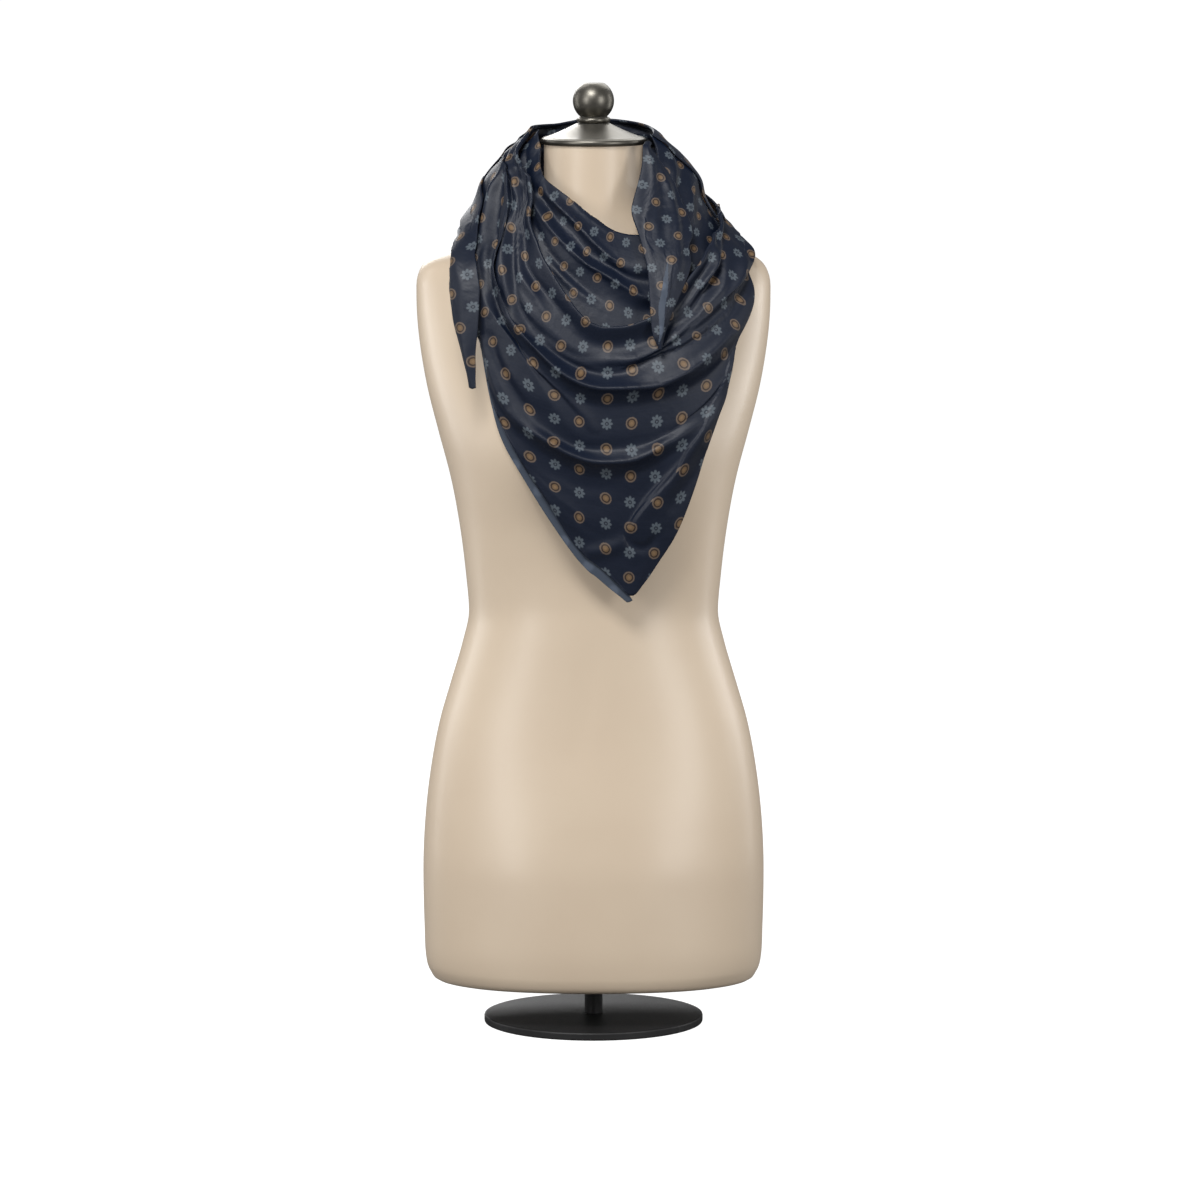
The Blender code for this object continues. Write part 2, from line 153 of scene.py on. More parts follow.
# Finer surface of the torso, in points round it, ring height and sharp angle in degrees, and
# the steps of what is turned on a lathe
TORSO_SIDES = 144
TORSO_RING = 6.0
SHARP_EDGE = 40.0
TURN_STEPS = 96

# Moulding of the torso's front: bust, line down the middle, and belly
BUST_HEIGHT = 596.0
BUST_SPREAD = 68.0
BUST_FORWARD = 18.9
BUST_WIDTH = 40.0
BUST_TALL = 62.0
GROOVE_LINE = ((255, -18), (300, -12), (345, -6), (380, -3), (420, -5))
GROOVE_DEPTH = 1.4
GROOVE_WIDTH = 7.0
GROOVE_RUN_OUT = 60.0
BELLY_CENTRE = (-6.0, 168.0)
BELLY_SIZE = (84.0, 100.0)
BELLY_RISE = 3.0

# Neck cap, collar and ball: the solids' own sizes, and the air between them
NECK_TOP = 882.0
GAP = 0.3
CAP_RADIUS = 52.5
CAP_RIM = 6.0
CAP_STEP = 1.0
CAP_CONE = 13.5
CAP_LIP = 3.0
CONE_SWELL = 1.25
COLLAR_RADIUS = 17.0
COLLAR_HEIGHT = 6.5
BALL_RADIUS = 20.5
BALL_STEM = 13.5
BALL_TOP_RADIUS = 10.5

# Outer sheet of the cowl down to the point. Stations run from the wearer's right to the left,
# and each holds the angle round the figure, the height, and the lift off it
FRONT_BIB = (
    ("rolled_edge", (-93, 900, 4), (-34, 852, 7), (-26, 812, 8), (-12, 770, 8),
     (2, 709, 9), (13, 717, 9), (36, 777, 8), (84, 822, 6)),
    ("tuck_below_edge", (-93, 895, 2), (-39, 850, 2), (-29, 806, 1), (-16, 757, 0),
     (2, 692, 0), (14, 699, 0), (38, 762, 0), (85, 817, 1)),
    ("first_swag", (-93, 890, 4), (-43, 849, 6), (-33, 797, 5), (-19, 736, 4),
     (2, 678, 5), (15, 688, 6), (38, 742, 6), (80, 795, 5)),
    ("first_valley", (-93, 885, 2), (-46, 846, 2), (-35, 785, 1), (-20, 716, 1),
     (3, 667, 0), (16, 683, 1), (34, 720, 1), (57, 772, 3)),
    ("great_swag", (-93, 879, 5), (-50, 856, 9), (-31, 784, 9), (-18, 708, 9),
     (2, 652, 11), (17, 659, 11), (33, 682, 8), (52, 729, 5)),
    ("great_valley", (-93, 866, 2), (-54, 846, 3), (-33, 769, 2), (-20, 697, 1),
     (2, 632, 1), (18, 640, 1), (32, 660, 1), (45, 694, 2)),
    ("panel_edge", (-93, 850, 3), (-58, 834, 5), (-36, 752, 6), (-21, 698, 6),
     (0, 604, 3), (16, 612, 2), (29, 634, 3), (42, 674, 3)),
    ("panel", (-52, 790, 2), (-39, 742, 3), (-31, 700, 3), (-20, 646, 3),
     (0, 592, 1), (14, 600, 1), (27, 626, 2), (40, 656, 2)),
    ("low_swag", (-34, 705, 2), (-29, 676, 3), (-24, 645, 4), (-15, 611, 7),
     (2, 579, 9), (13, 588, 8), (30, 620, 5), (38, 638, 1)),
    ("low_valley", (-29, 660, 1), (-27, 640, 2), (-22, 612, 2), (-13, 588, 1),
     (2, 561, 1), (13, 571, 1), (28, 605, 6), (35, 618, 0)),
    ("above_point", (-24, 617, 1), (-21, 600, 3), (-16, 579, 3), (-9, 559, 3),
     (2, 541, 2), (12, 551, 1), (23, 583, 6), (31, 590, 0)),
    ("high_point", (-17.5, 577, 1), (-15, 568, 3), (-11, 555, 3), (-6, 539, 3),
     (1, 523, 2), (8, 528, 1), (16, 550, 6), (26, 549, 1)),
    ("middle_point", (-10, 537, 1), (-8, 531, 2), (-5, 523, 2), (-1, 511, 1),
     (3, 500, 0), (6.5, 505, 1), (10, 518, 6), (20.5, 507, 2)),
    ("low_point", (-3, 493, 0), (-1.5, 490, 0), (0, 485, 0), (2, 479, 0),
     (4.5, 473, 0), (7.5, 474, 1), (11, 478, 2), (14.5, 473, 0)),
    ("tip", (7, 448, 0), (7.3, 447, 0), (7.6, 446, 0), (8, 445, 0),
     (8.4, 445, 0), (8.8, 445, 0), (9.2, 446, 0), (9.6, 447, 0)),
)

# Inner sheet, from the open neckline down to where it goes under the outer one, at the
# same stations
NECK_BAND = (
    ("neckline", (-80, 897, -3), (-52, 876, -15), (-28, 853, -7), (-7, 828, -5),
     (8, 800, -5), (17, 797, -5), (30, 846, -5), (72, 893, -4)),
    ("collar_ridge", (-80, 892, -4), (-52, 869, -13), (-26, 841, -3), (-6.5, 812, -1),
     (5, 777, 0), (14, 768, 0), (34, 832, -1), (73, 884, 0)),
    ("collar_valley", (-80, 887, -6), (-52, 862, -14), (-28, 833, -7), (-8, 801, -6),
     (3.5, 768, -6), (14, 754, -6), (36, 818, -6), (75, 872, -3)),
    ("cowl_ridge", (-80, 882, -6), (-50, 855, -9), (-31, 830, -2), (-10, 791, -1),
     (1, 765, 0), (14.5, 739, 0), (38, 802, -1), (78, 856, 1)),
    ("cowl_valley", (-80, 877, -9), (-52, 847, -11), (-33, 815, -8), (-12, 775, -7),
     (1.5, 740, -7), (14, 724, -7), (40, 788, -6), (81, 837, -3)),
    ("hidden_edge", (-80, 872, -10), (-54, 838, -12), (-35, 800, -9), (-15, 752, -9),
     (2, 694, -2.6), (14, 700, -2.6), (42, 766, -6), (84, 806, -6)),
)

# Ends of the scarf that come round the neck and hang in front, from the neck down to the
# tip. Stations: edge nearer the middle, ridge, outer edge
LEFT_TAIL = (
    ("collar", (45, 887, 0), (48.5, 887.5, 1.5), (52, 886, 0)),
    ("gathered", (36, 882, 3), (39, 882, 6), (43, 880, 3)),
    ("beside_cap", (28.6, 869, 4), (34, 870, 9), (42, 866, 5)),
    ("beside_neck", (21.3, 850, 5), (30, 852, 11), (42, 852, 7)),
    ("bulge", (16.6, 831, 6), (27, 834, 13), (43, 831, 8)),
    ("hollow", (14.7, 817, 7), (25, 816, 13), (42, 812, 9)),
    ("neckline", (15.2, 796, 8), (24, 796, 14), (38, 797, 10)),
    ("chest", (13.6, 775, 11), (21, 778, 16), (31, 782, 8.6)),
    ("narrow", (13.2, 745, 12), (17.5, 748, 17), (24, 753, 10.5)),
    ("low", (13.4, 722, 13), (16.5, 722, 17), (20, 730, 13)),
    ("point", (13.9, 703, 13), (15.6, 703, 16), (17.3, 706, 13)),
    ("tip", (15.6, 689, 13), (15.9, 689, 13.5), (16.2, 690, 13)),
)
RIGHT_TAIL = (
    ("back", (-125, 842, 6), (-125, 822, 7), (-125, 796, 4)),
    ("shoulder", (-92, 850, 4.5), (-92, 820, 2), (-92, 802, -3)),
    ("turn", (-66, 834, 7.5), (-72, 812, 6), (-79, 800, 0)),
    ("over_shoulder", (-55, 815, 11), (-59, 805, 11), (-66, 796, 5)),
    ("shoulder_front", (-44, 790, 12), (-50, 786, 15), (-56.5, 788, 12)),
    ("shoulder_edge", (-35, 772, 12), (-41, 770, 15), (-46.5, 774, 12)),
    ("chest", (-32, 759, 12), (-37.5, 757, 16), (-43, 761, 12)),
    ("hang", (-30.6, 742, 12), (-36, 742, 16), (-41, 743, 13)),
    ("narrow", (-30.8, 712, 12), (-35.5, 712, 15), (-39, 714, 13)),
    ("point", (-31.6, 684, 12), (-34.5, 684, 15), (-36, 685, 13)),
    ("low", (-31, 664, 12), (-32.5, 664, 14), (-33.7, 665, 13)),
    ("tip", (-30.3, 651, 13), (-31.3, 650, 13.5), (-32.4, 651, 13)),
)

# Back of the neck, where the two bundles cross: the first against the neck, the second
# over it. Stations: right shoulder, right of the nape, nape, left of the nape, left shoulder
BACK_WRAP_UNDER = (
    ("top_edge", (-93.6, 900, 4), (-140, 900, 3), (-180, 905, 2), (-225, 902, 3), (-287.6, 893, -4)),
    ("top_ridge", (-93.6, 895, 2), (-140, 896, 5), (-180, 898, 5), (-225, 896, 6), (-287.2, 888.5, -2)),
    ("top_valley", (-93.6, 890, 4), (-140, 888, 0), (-180, 889, 0), (-225, 887, 1), (-286.6, 884, 0)),
    ("ridge", (-93.6, 885, 2), (-140, 879, 5), (-180, 879, 5), (-225, 876, 6), (-284.6, 872, -3)),
    ("valley", (-93.6, 879, 5), (-140, 870, 0), (-180, 868, 0), (-225, 865, 1), (-281.6, 856, 1)),
    ("low_ridge", (-93.6, 866, 2), (-140, 860, 3), (-180, 856, 3), (-225, 850, 3), (-278.6, 837, -3)),
    ("hidden_edge", (-93.6, 842, 2), (-140, 834, 0), (-180, 836, -1), (-225, 828, -2), (-275.6, 804, -6)),
)
BACK_WRAP_OVER = (
    ("top_edge", (-125.6, 842, 6), (-150, 858, 9), (-185, 866, 10), (-230, 840, 7), (-275.6, 815, 2)),
    ("top_ridge", (-125.6, 833, 8), (-150, 846, 12), (-185, 852, 14), (-230, 828, 9), (-274.8, 811, 2)),
    ("valley", (-125.6, 822, 7), (-150, 832, 8), (-185, 836, 9), (-230, 817, 6), (-275, 806, 1)),
    ("low_ridge", (-125.6, 809, 8), (-150, 814, 9), (-185, 817, 9), (-230, 808, 6), (-276, 800, 2)),
    ("low_edge", (-125.6, 796, 4), (-150, 797, 0), (-185, 798, -9.5), (-230, 798, 0), (-277.5, 794, 4)),
)

# Second layer of the folded square, which shows as a strip beside the edge on the wearer's
# right. Stations: outer edge, middle, hidden edge
UNDER_LAYER = (
    ("top", (-33, 692, -1.6), (-31, 689, -1.6), (-27, 684, -1.6)),
    ("upper", (-28.5, 643, -1.6), (-26.5, 640, -1.6), (-23, 635, -1.6)),
    ("middle", (-24, 601, -1.6), (-21.5, 597, -1.6), (-18, 591, -1.6)),
    ("low", (-17, 561, -1.6), (-14, 556, -1.6), (-10, 549, -1.6)),
    ("lower", (-10, 521, -1.8), (-7, 515.5, -1.8), (-3, 508, -2.2)),
    ("near_tip", (-3, 481, -2.6), (0, 475, -2.6), (4, 468, -2.6)),
    ("bottom", (2, 457, -2.6), (4.5, 454, -2.6), (7, 451, -2.6)),
    ("tip", (7.4, 438, -2.6), (8.1, 438.5, -2.6), (8.8, 440, -2.6)),
)

# Soft creases laid on a sheet. A ridge stands up on both sides of its line (a minus
# height makes a trough), and a tuck is a step: the cloth on the left of the line, followed
# from its first point, lies over the rest. Columns: kind, height, width, (angle, height)
# of the points along it
BIB_CREASES = (
    ("ridge", 3.5, 4.6, (-58, 880), (-50, 859), (-47, 834), (-40, 807), (-31, 783), (-27, 745)),
    ("tuck", 3.3, 9.0, (-29, 755), (-27, 738), (-22, 710), (-16, 678), (-7, 646), (-2, 623),
     (0, 605)),
    ("ridge", 2.7, 4.1, (-66, 868), (-61, 850), (-58, 825), (-50, 800), (-45, 778)),
    ("ridge", -3.0, 4.6, (-60, 872), (-54, 848), (-50, 820), (-43, 792), (-38, 765)),
    ("ridge", 2.7, 3.7, (-44, 868), (-37, 848), (-35, 820), (-29, 795), (-21, 765), (-14, 738)),
    ("ridge", -2.4, 4.1, (-38, 862), (-33, 838), (-29, 806), (-20, 772), (-10, 736), (-4, 712)),
    ("ridge", 2.2, 4.1, (-12, 703), (-7, 686), (-1, 673), (3, 668), (11, 670)),
    ("ridge", -2.2, 5.1, (-21, 736), (-16, 715), (-10, 698), (-4, 684), (3, 679)),
    ("ridge", 4.1, 3.7, (-26, 735), (-18, 707), (-12, 687), (-7, 669), (-2, 657), (2, 652),
     (13, 653), (22, 664), (32, 684), (42, 706)),
    ("tuck", 3.6, 9.0, (6, 670), (14, 681), (23, 692), (26, 697), (32, 706), (39, 719), (44, 733),
     (48, 752)),
    ("ridge", 3.8, 3.7, (15, 688), (20, 697), (26, 712), (32, 731), (38, 749), (46, 775)),
    ("ridge", -3.8, 4.1, (10, 680), (17, 692), (24, 706), (29, 722), (35, 742), (41, 764)),
    ("ridge", 4.6, 3.7, (20, 715), (26, 731), (32, 751), (39, 771), (50, 792), (66, 812)),
    ("ridge", -4.1, 3.7, (21, 706), (29, 729), (36, 752), (45, 776), (58, 800), (74, 816)),
    ("ridge", 4.1, 3.7, (31, 745), (38, 766), (50, 786), (63, 803), (78, 818)),
    ("ridge", 3.5, 3.7, (19, 693), (26, 707), (32, 720), (41, 742), (49, 761), (62, 783)),
    ("ridge", -3.2, 4.6, (28, 700), (36, 716), (46, 738), (58, 768), (72, 800)),
    ("tuck", 2.4, 13.0, (43, 690), (40, 669), (37, 651), (32, 630), (28, 608), (23, 587), (20, 568),
     (14, 544), (10, 526), (8, 512)),
    ("ridge", -2.7, 4.6, (8, 512), (8, 500), (11, 493), (14, 499), (15, 508)),
    ("ridge", 3.0, 3.7, (-21, 632), (-17, 616), (-10, 600), (-4, 586), (1, 579), (7, 580),
     (13, 588), (19, 606)),
    ("ridge", 3.2, 7.0, (-2, 487), (1, 490), (4, 494), (7, 500)),
    ("ridge", -1.6, 9.0, (-16, 585), (-8, 566), (0, 553), (7, 553)),
    ("ridge", 1.4, 8.0, (-26, 690), (-22, 670), (-17, 650), (-10, 634)),
    ("ridge", -1.6, 8.0, (30, 590), (27, 570), (22, 548), (18, 528)),
    ("ridge", 1.2, 8.0, (-13, 548), (-7, 530), (-3, 515), (2, 503)),
    ("ridge", 3.2, 4.1, (-67, 886), (-61, 863), (-59, 837), (-49, 806), (-32, 764), (-28, 718)),
    ("ridge", -3.2, 3.7, (-52, 881), (-48, 857), (-48, 825), (-37, 788), (-28, 750), (-25, 718)),
    ("ridge", 3.2, 3.7, (-42, 871), (-41, 844), (-38, 811), (-27, 776), (-23, 744), (-20, 715)),
    ("ridge", -3.0, 3.7, (-36, 862), (-36, 833), (-31, 800), (-23, 769), (-20, 736), (-16, 711)),
    ("ridge", 2.7, 3.7, (-32, 850), (-32, 826), (-28, 798), (-21, 772), (-16, 746), (-11, 721)),
    ("ridge", 2.2, 3.7, (-32, 701), (-28, 666), (-23, 635), (-17, 608)),
    ("ridge", -2.2, 4.6, (-29, 707), (-25, 672), (-19, 643), (-14, 620)),
    ("ridge", 4.5, 9.0, (77, 822), (90, 814), (90, 803), (82, 790), (61, 777)),
    ("ridge", 3.0, 5.0, (71, 815), (62, 800), (50, 784), (38, 766), (31, 745)),
    ("ridge", -3.0, 4.0, (60, 808), (51, 791), (37, 771), (29, 751), (24, 732)),
    ("ridge", 2.6, 4.0, (82, 806), (62, 789), (44, 769), (36, 747), (28, 724)),
    ("ridge", -2.4, 4.0, (69, 803), (54, 785), (40, 765), (32, 743), (26, 722)),
)
BAND_CREASES = (
    ("ridge", 3.9, 3.3, (-34, 856), (-28, 849), (-22, 838), (-6, 810), (2, 784), (8, 765)),
    ("ridge", 4.2, 3.3, (-34, 838), (-28, 828), (-21, 815), (-9, 791), (0, 767), (6, 752), (14, 736)),
    ("ridge", -2.4, 3.7, (-34, 848), (-25, 830), (-14, 806), (-4, 784), (3, 766)),
    ("ridge", -2.4, 4.6, (-32, 822), (-24, 804), (-14, 780), (-4, 754), (2, 733)),
    ("ridge", 2.1, 3.7, (-27, 806), (-19, 789), (-11, 768), (-4, 746), (2, 728)),
    ("ridge", 3.0, 4.6, (69, 876), (58, 862), (46, 835), (36, 800), (28, 770), (22, 745)),
    ("ridge", -2.7, 4.6, (66, 882), (52, 868), (40, 842), (33, 812), (26, 780)),
    ("ridge", 2.7, 4.6, (71, 858), (64, 848), (54, 820), (46, 790), (38, 764)),
    ("ridge", -2.2, 4.6, (73, 846), (68, 834), (58, 806), (48, 780)),
    ("ridge", 1.8, 3.2, (-16, 841), (-7, 826), (0, 812), (6, 800)),
)
UNDER_WRAP_CREASES = (
    ("ridge", 2.4, 3.8, (-100, 892), (-130, 884), (-165, 884), (-200, 881), (-240, 872), (-270, 862)),
    ("ridge", -2.1, 3.8, (-100, 884), (-135, 875), (-170, 873), (-210, 868), (-250, 858)),
    ("ridge", 2.0, 3.8, (-150, 900), (-185, 901), (-220, 898), (-250, 893)),
)
OVER_WRAP_CREASES = (
    ("ridge", 3.0, 4.3, (-128, 836), (-155, 845), (-185, 848), (-215, 838), (-250, 822)),
    ("ridge", -2.7, 4.3, (-128, 828), (-150, 834), (-180, 838), (-215, 828), (-255, 812)),
    ("ridge", 2.7, 4.3, (-128, 818), (-155, 824), (-185, 827), (-220, 818), (-258, 806)),
    ("ridge", -2.2, 4.8, (-128, 810), (-160, 814), (-190, 815), (-230, 806)),
)
LEFT_TAIL_CREASES = (
    ("ridge", 2.4, 4.4, (38, 887), (31, 865), (23, 836), (18, 811), (15, 780), (15, 746), (15, 713)),
    ("ridge", -2.8, 4.4, (44, 889), (35, 865), (30, 836), (26, 808), (20, 779), (17, 751), (17, 718)),
    ("ridge", 2.6, 4.2, (41, 877), (36, 850), (35, 822), (29, 793), (22, 770), (19, 746)),
    ("ridge", -1.8, 3.6, (42, 871), (40, 842), (38, 818), (32, 793), (24, 770)),
    ("tuck", 1.4, 5.0, (16, 694), (16, 712), (17, 729), (18, 748), (19, 765), (22, 776)),
)
RIGHT_TAIL_CREASES = (
    ("ridge", 2.2, 3.3, (-110, 822), (-92, 816), (-74, 808), (-62, 800), (-52, 786), (-43, 770),
     (-39, 750), (-37, 720)),
    ("ridge", -2.1, 3.3, (-100, 828), (-72, 817), (-57, 808), (-47, 790), (-38, 770), (-33, 750),
     (-33, 715)),
    ("ridge", -1.8, 3.3, (-90, 806), (-72, 803), (-62, 796), (-53, 784), (-45, 768), (-40, 745)),
)

# Where the left tail turns over and shows its reverse: (angle, height) down its middle, and
# half its width
TAIL_REVERSE = ((21, 773), (19, 759), (18, 744), (17, 727), (17, 710), (16, 694))
TAIL_REVERSE_WIDTH = 3.2

# Colours, sRGB
PAPER = "f7f7f7"
PAPER_SHADE = "767676"
SKIN = "c1b19c"
SKIN_SHADE = "b9a792"
NAVY = "091222"
NAVY_THREAD = "10192b"
MEDALLION_RIM = "5f5248"
MEDALLION_BROWN = "30241f"
MEDALLION_GOLD = "68543e"
MEDALLION_HEART = "745d45"
FLORET_PETAL = "4d555d"
FLORET_HEART = "222732"
REVERSE_SLATE = "414956"
REVERSE_GHOST = "57606f"
SHEEN = "a9b4c9"
GUNMETAL = "6d6a63"
BLACK_STEEL = "1a1a1b"

# Rings of the motifs: distance from the middle, colour
MEDALLION_RINGS = (
    (0.0, MEDALLION_HEART), (1.1, MEDALLION_HEART), (1.8, MEDALLION_GOLD), (2.8, MEDALLION_GOLD),
    (3.3, MEDALLION_BROWN), (4.2, MEDALLION_BROWN), (4.7, MEDALLION_RIM), (8.0, MEDALLION_RIM),
)
FLORET_RINGS = (
    (0.0, FLORET_PETAL), (0.7, FLORET_PETAL), (1.0, FLORET_HEART), (1.7, FLORET_HEART),
    (2.4, FLORET_PETAL), (8.0, FLORET_PETAL),
)

# Camera of the photograph, in metres and degrees
CAMERA_PLACE = (0.0065, -6.35229537, 1.2069638)
CAMERA_TILT = 83.0
CAMERA_LENS = 192.0

# How far the floor runs, in metres, its own glow, and the strength of the pale surround
FLOOR_REACH = 60.0
FLOOR_GLOW = 1.08
SURROUND = 0.2


def linear(colour):
    """sRGB hex colour as the linear values the shaders use."""
    parts = [int(colour[i:i + 2], 16) / 255 for i in (0, 2, 4)]
    return (*((c / 12.92 if c <= 0.04045 else ((c + 0.055) / 1.055) ** 2.4) for c in parts), 1.0)


def add_node(tree, kind, settings, inputs):
    """Adds a node, sets it up and fills its inputs with values or links."""
    new = tree.nodes.new("ShaderNode" + kind)
    for name, value in settings.items():
        setattr(new, name, value)
    for name, value in inputs.items():
        if isinstance(value, bpy.types.NodeSocket):
            tree.links.new(value, new.inputs[name])
        else:
            new.inputs[name].default_value = value
    return new


def new_material(name):
    """Empty material with its output, ready for a shader."""
    material = bpy.data.materials.new(name)
    material.use_nodes = True
    tree = material.node_tree
    tree.nodes.clear()
    return material, tree, tree.nodes.new("ShaderNodeOutputMaterial")


def colour_stops(ramp, stops):
    """Fills a colour ramp from (distance from the motif's middle, hex colour) pairs."""
    while len(ramp.elements) < len(stops):
        ramp.elements.new(1.0)
    for element, (place, colour) in zip(ramp.elements, stops):
        element.position = place / MOTIF_REACH
        element.color = linear(colour)


def smooth_curve(places, values, at):
    """Smooth curve through values at rising places that never overshoots between them."""
    places = np.asarray(places, float)
    values = np.asarray(values, float)
    slopes = np.diff(values) / np.diff(places)
    turns = np.concatenate([slopes[:1], (slopes[1:] + slopes[:-1]) / 2, slopes[-1:]])
    before, after = slopes[:-1], slopes[1:]
    limit = 3 * np.minimum(abs(before), abs(after))
    inner = np.sign(turns[1:-1]) * np.minimum(abs(turns[1:-1]), limit)
    turns[1:-1] = np.where(before * after > 0, inner, 0.0)
    at = np.clip(at, places[0], places[-1])
    span = np.clip(np.searchsorted(places, at) - 1, 0, len(places) - 2)
    width = places[span + 1] - places[span]
    t = (at - places[span]) / width
    start = (1 + 2 * t) * (1 - t) ** 2 * values[span] + t * (1 - t) ** 2 * width * turns[span]
    end = t * t * (3 - 2 * t) * values[span + 1] + t * t * (t - 1) * width * turns[span + 1]
    return start + end


def section(half_width, front, back, squareness, turn):
    """Points of a rounded section; turn 0 is in front, minus on the wearer's right."""
    across, forward = np.sin(turn), np.cos(turn)
    depth = np.where(forward > 0, front, back)
    power = 2 / squareness
    x = half_width * np.sign(across) * abs(across) ** power
    y = -depth * np.sign(forward) * abs(forward) ** power
    return x, y


def on_figure(angle, height, lift):
    """Points of the worn cloth at these angles and heights, lifted off the figure."""
    angle, height = np.asarray(angle, float), np.asarray(height, float)
    heights, widths, fronts, backs = np.transpose(FIGURE)
    half_width = smooth_curve(heights, widths, height) + lift
    front = smooth_curve(heights, fronts, height) + lift
    back = smooth_curve(heights, backs, height) + lift
    x, y = section(half_width, front, back, FIGURE_SQUARENESS, np.radians(angle))
    return np.stack([x, y, height], axis=-1)


def hang(folds, across, between):
    """Angle, height and lift over a table of folds, smooth both ways."""
    stations = np.array([fold[1:] for fold in folds], float)
    at_station = np.linspace(0, 1, stations.shape[1])
    along = np.linspace(0, 1, across + 1)
    at_fold = np.arange(len(folds))
    down = np.linspace(0, len(folds) - 1, (len(folds) - 1) * between + 1)
    cloth = np.empty((len(down), across + 1, 3))
    for kind in range(3):
        lines = np.array([smooth_curve(at_station, fold[:, kind], along) for fold in stations])
        for column in range(across + 1):
            cloth[:, column, kind] = smooth_curve(at_fold, lines[:, column], down)
    return cloth


def crease_line(path):
    """Close points along a crease, and its direction at each."""
    path = np.array(path, float)
    corners = on_figure(path[:, 0], path[:, 1], CLOTH_LIFT)
    reach = np.concatenate([[0], np.cumsum(np.linalg.norm(np.diff(corners, axis=0), axis=1))])
    at = np.linspace(0, reach[-1], int(reach[-1] / CREASE_STEP) + 2)
    line = np.stack([smooth_curve(reach, corners[:, axis], at) for axis in range(3)], axis=-1)
    ahead = np.gradient(line, axis=0)
    return line, ahead / np.linalg.norm(ahead, axis=1, keepdims=True), at / reach[-1]


def crease_lift(points, creases):
    """How far each point is raised by the creases near it, and how far tucks shift its print."""
    flat = points.reshape(-1, 3)
    outward = flat * (1, 1, 0)
    outward /= np.linalg.norm(outward, axis=1, keepdims=True)
    total = np.zeros(len(flat))
    shift = np.zeros((len(flat), 2))
    for kind, height, width, *path in creases:
        line, ahead, share = crease_line(path)
        near = np.argmin(((flat[:, None, :] - line[None, :, :]) ** 2).sum(axis=2), axis=1)
        apart = flat - line[near]
        apart -= outward * (apart * outward).sum(axis=1, keepdims=True)
        distance = np.linalg.norm(apart, axis=1)
        fade = np.clip(np.sin(np.pi * share[near]), 0, 1) ** 0.5
        if kind == "tuck":
            side = (np.cross(outward, ahead[near]) * apart).sum(axis=1)
            rise = np.exp(-(distance / np.where(side > 0, width, TUCK_STEP)) ** 2)
            heading = ahead[near]
            run = heading[:, 0] * outward[:, 1] - heading[:, 1] * outward[:, 0]
            level = np.stack([run, heading[:, 2]], axis=-1)
            square = np.stack([-level[:, 1], level[:, 0]], axis=-1)
            hidden = TUCK_DEPTH * fade * np.sign(side) * np.exp(-distance / TUCK_REACH)
            shift += square * hidden[:, None]
        else:
            rise = np.exp(-(distance / width) ** 2)
        total += height * fade * rise
    return total.reshape(points.shape[:2]), shift.reshape(*points.shape[:2], 2)


def slack(shape, size, across_period, down_period, seed):
    """Low unevenness that no hand-laid fold is without: a few slow waves in both directions."""
    rng = np.random.default_rng(seed)
    rows, columns = np.mgrid[0:shape[0], 0:shape[1]]
    waves = np.zeros(shape)
    for _ in range(SLACK_WAVES):
        turn = rng.uniform(0, 2 * np.pi)
        lean, pace = rng.uniform(-1, 1), rng.uniform(0.6, 1.6)
        place = rows / down_period + lean * columns / across_period
        waves += np.sin(turn + 2 * np.pi * pace * place)
    return waves * size / SLACK_WAVES ** 0.5


def outward_normals(points):
    """Directions square to the cloth at each point of the grid."""
    down, along = np.gradient(points, axis=0), np.gradient(points, axis=1)
    normals = np.cross(down, along)
    return normals / np.maximum(np.linalg.norm(normals, axis=2, keepdims=True), 1e-9)


def turn_over(points, plan, radius, depth):
    """Adds rows before the first one, where the cloth turns over and runs back inside."""
    edge = points[0]
    reach = np.concatenate([[0], np.cumsum(np.linalg.norm(np.diff(edge, axis=0), axis=1))])
    ease = np.clip(np.minimum(reach, reach[-1] - reach) / HEM_RUN_OUT, 0.05, 1)[:, None]
    radius = np.maximum(radius * ease, HEM_LEAST)
    inward = points[1] - points[0]
    inward /= np.maximum(np.linalg.norm(inward, axis=1, keepdims=True), 1e-9)
    plan_out = plan[0] - plan[1]
    plan_out /= np.maximum(np.linalg.norm(plan_out, axis=1, keepdims=True), 1e-9)
    out = outward_normals(points)[0]
    out *= np.sign((out * edge * (1, 1, 0)).sum(axis=1, keepdims=True))
    rows, plan_rows = [], []
    for turn in np.linspace(0, math.pi, 7)[1:]:
        rows.append(edge + radius * (out * (math.cos(turn) - 1) - inward * math.sin(turn)))
        plan_rows.append(plan[0] + plan_out * radius * turn)
    for share in np.linspace(0, 1, max(2, int(depth / 2.5) + 1))[1:]:
        run = depth * share * ease
        rows.append(edge - 2 * radius * out + inward * run)
        plan_rows.append(plan[0] + plan_out * (radius * math.pi + run))
    return np.concatenate([rows[::-1], points]), np.concatenate([plan_rows[::-1], plan])


def finish_edges(points, plan, edges):
    """Turns over the named edges of a sheet: side, radius of the turn, depth inside."""
    for side, radius, depth in edges:
        swap, flip = side in ("left", "right"), side in ("bottom", "right")
        if swap:
            points, plan = points.swapaxes(0, 1), plan.swapaxes(0, 1)
        if flip:
            points, plan = points[::-1], plan[::-1]
        points, plan = turn_over(points, plan, radius, depth)
        if flip:
            points, plan = points[::-1], plan[::-1]
        if swap:
            points, plan = points.swapaxes(0, 1), plan.swapaxes(0, 1)
    return points, plan


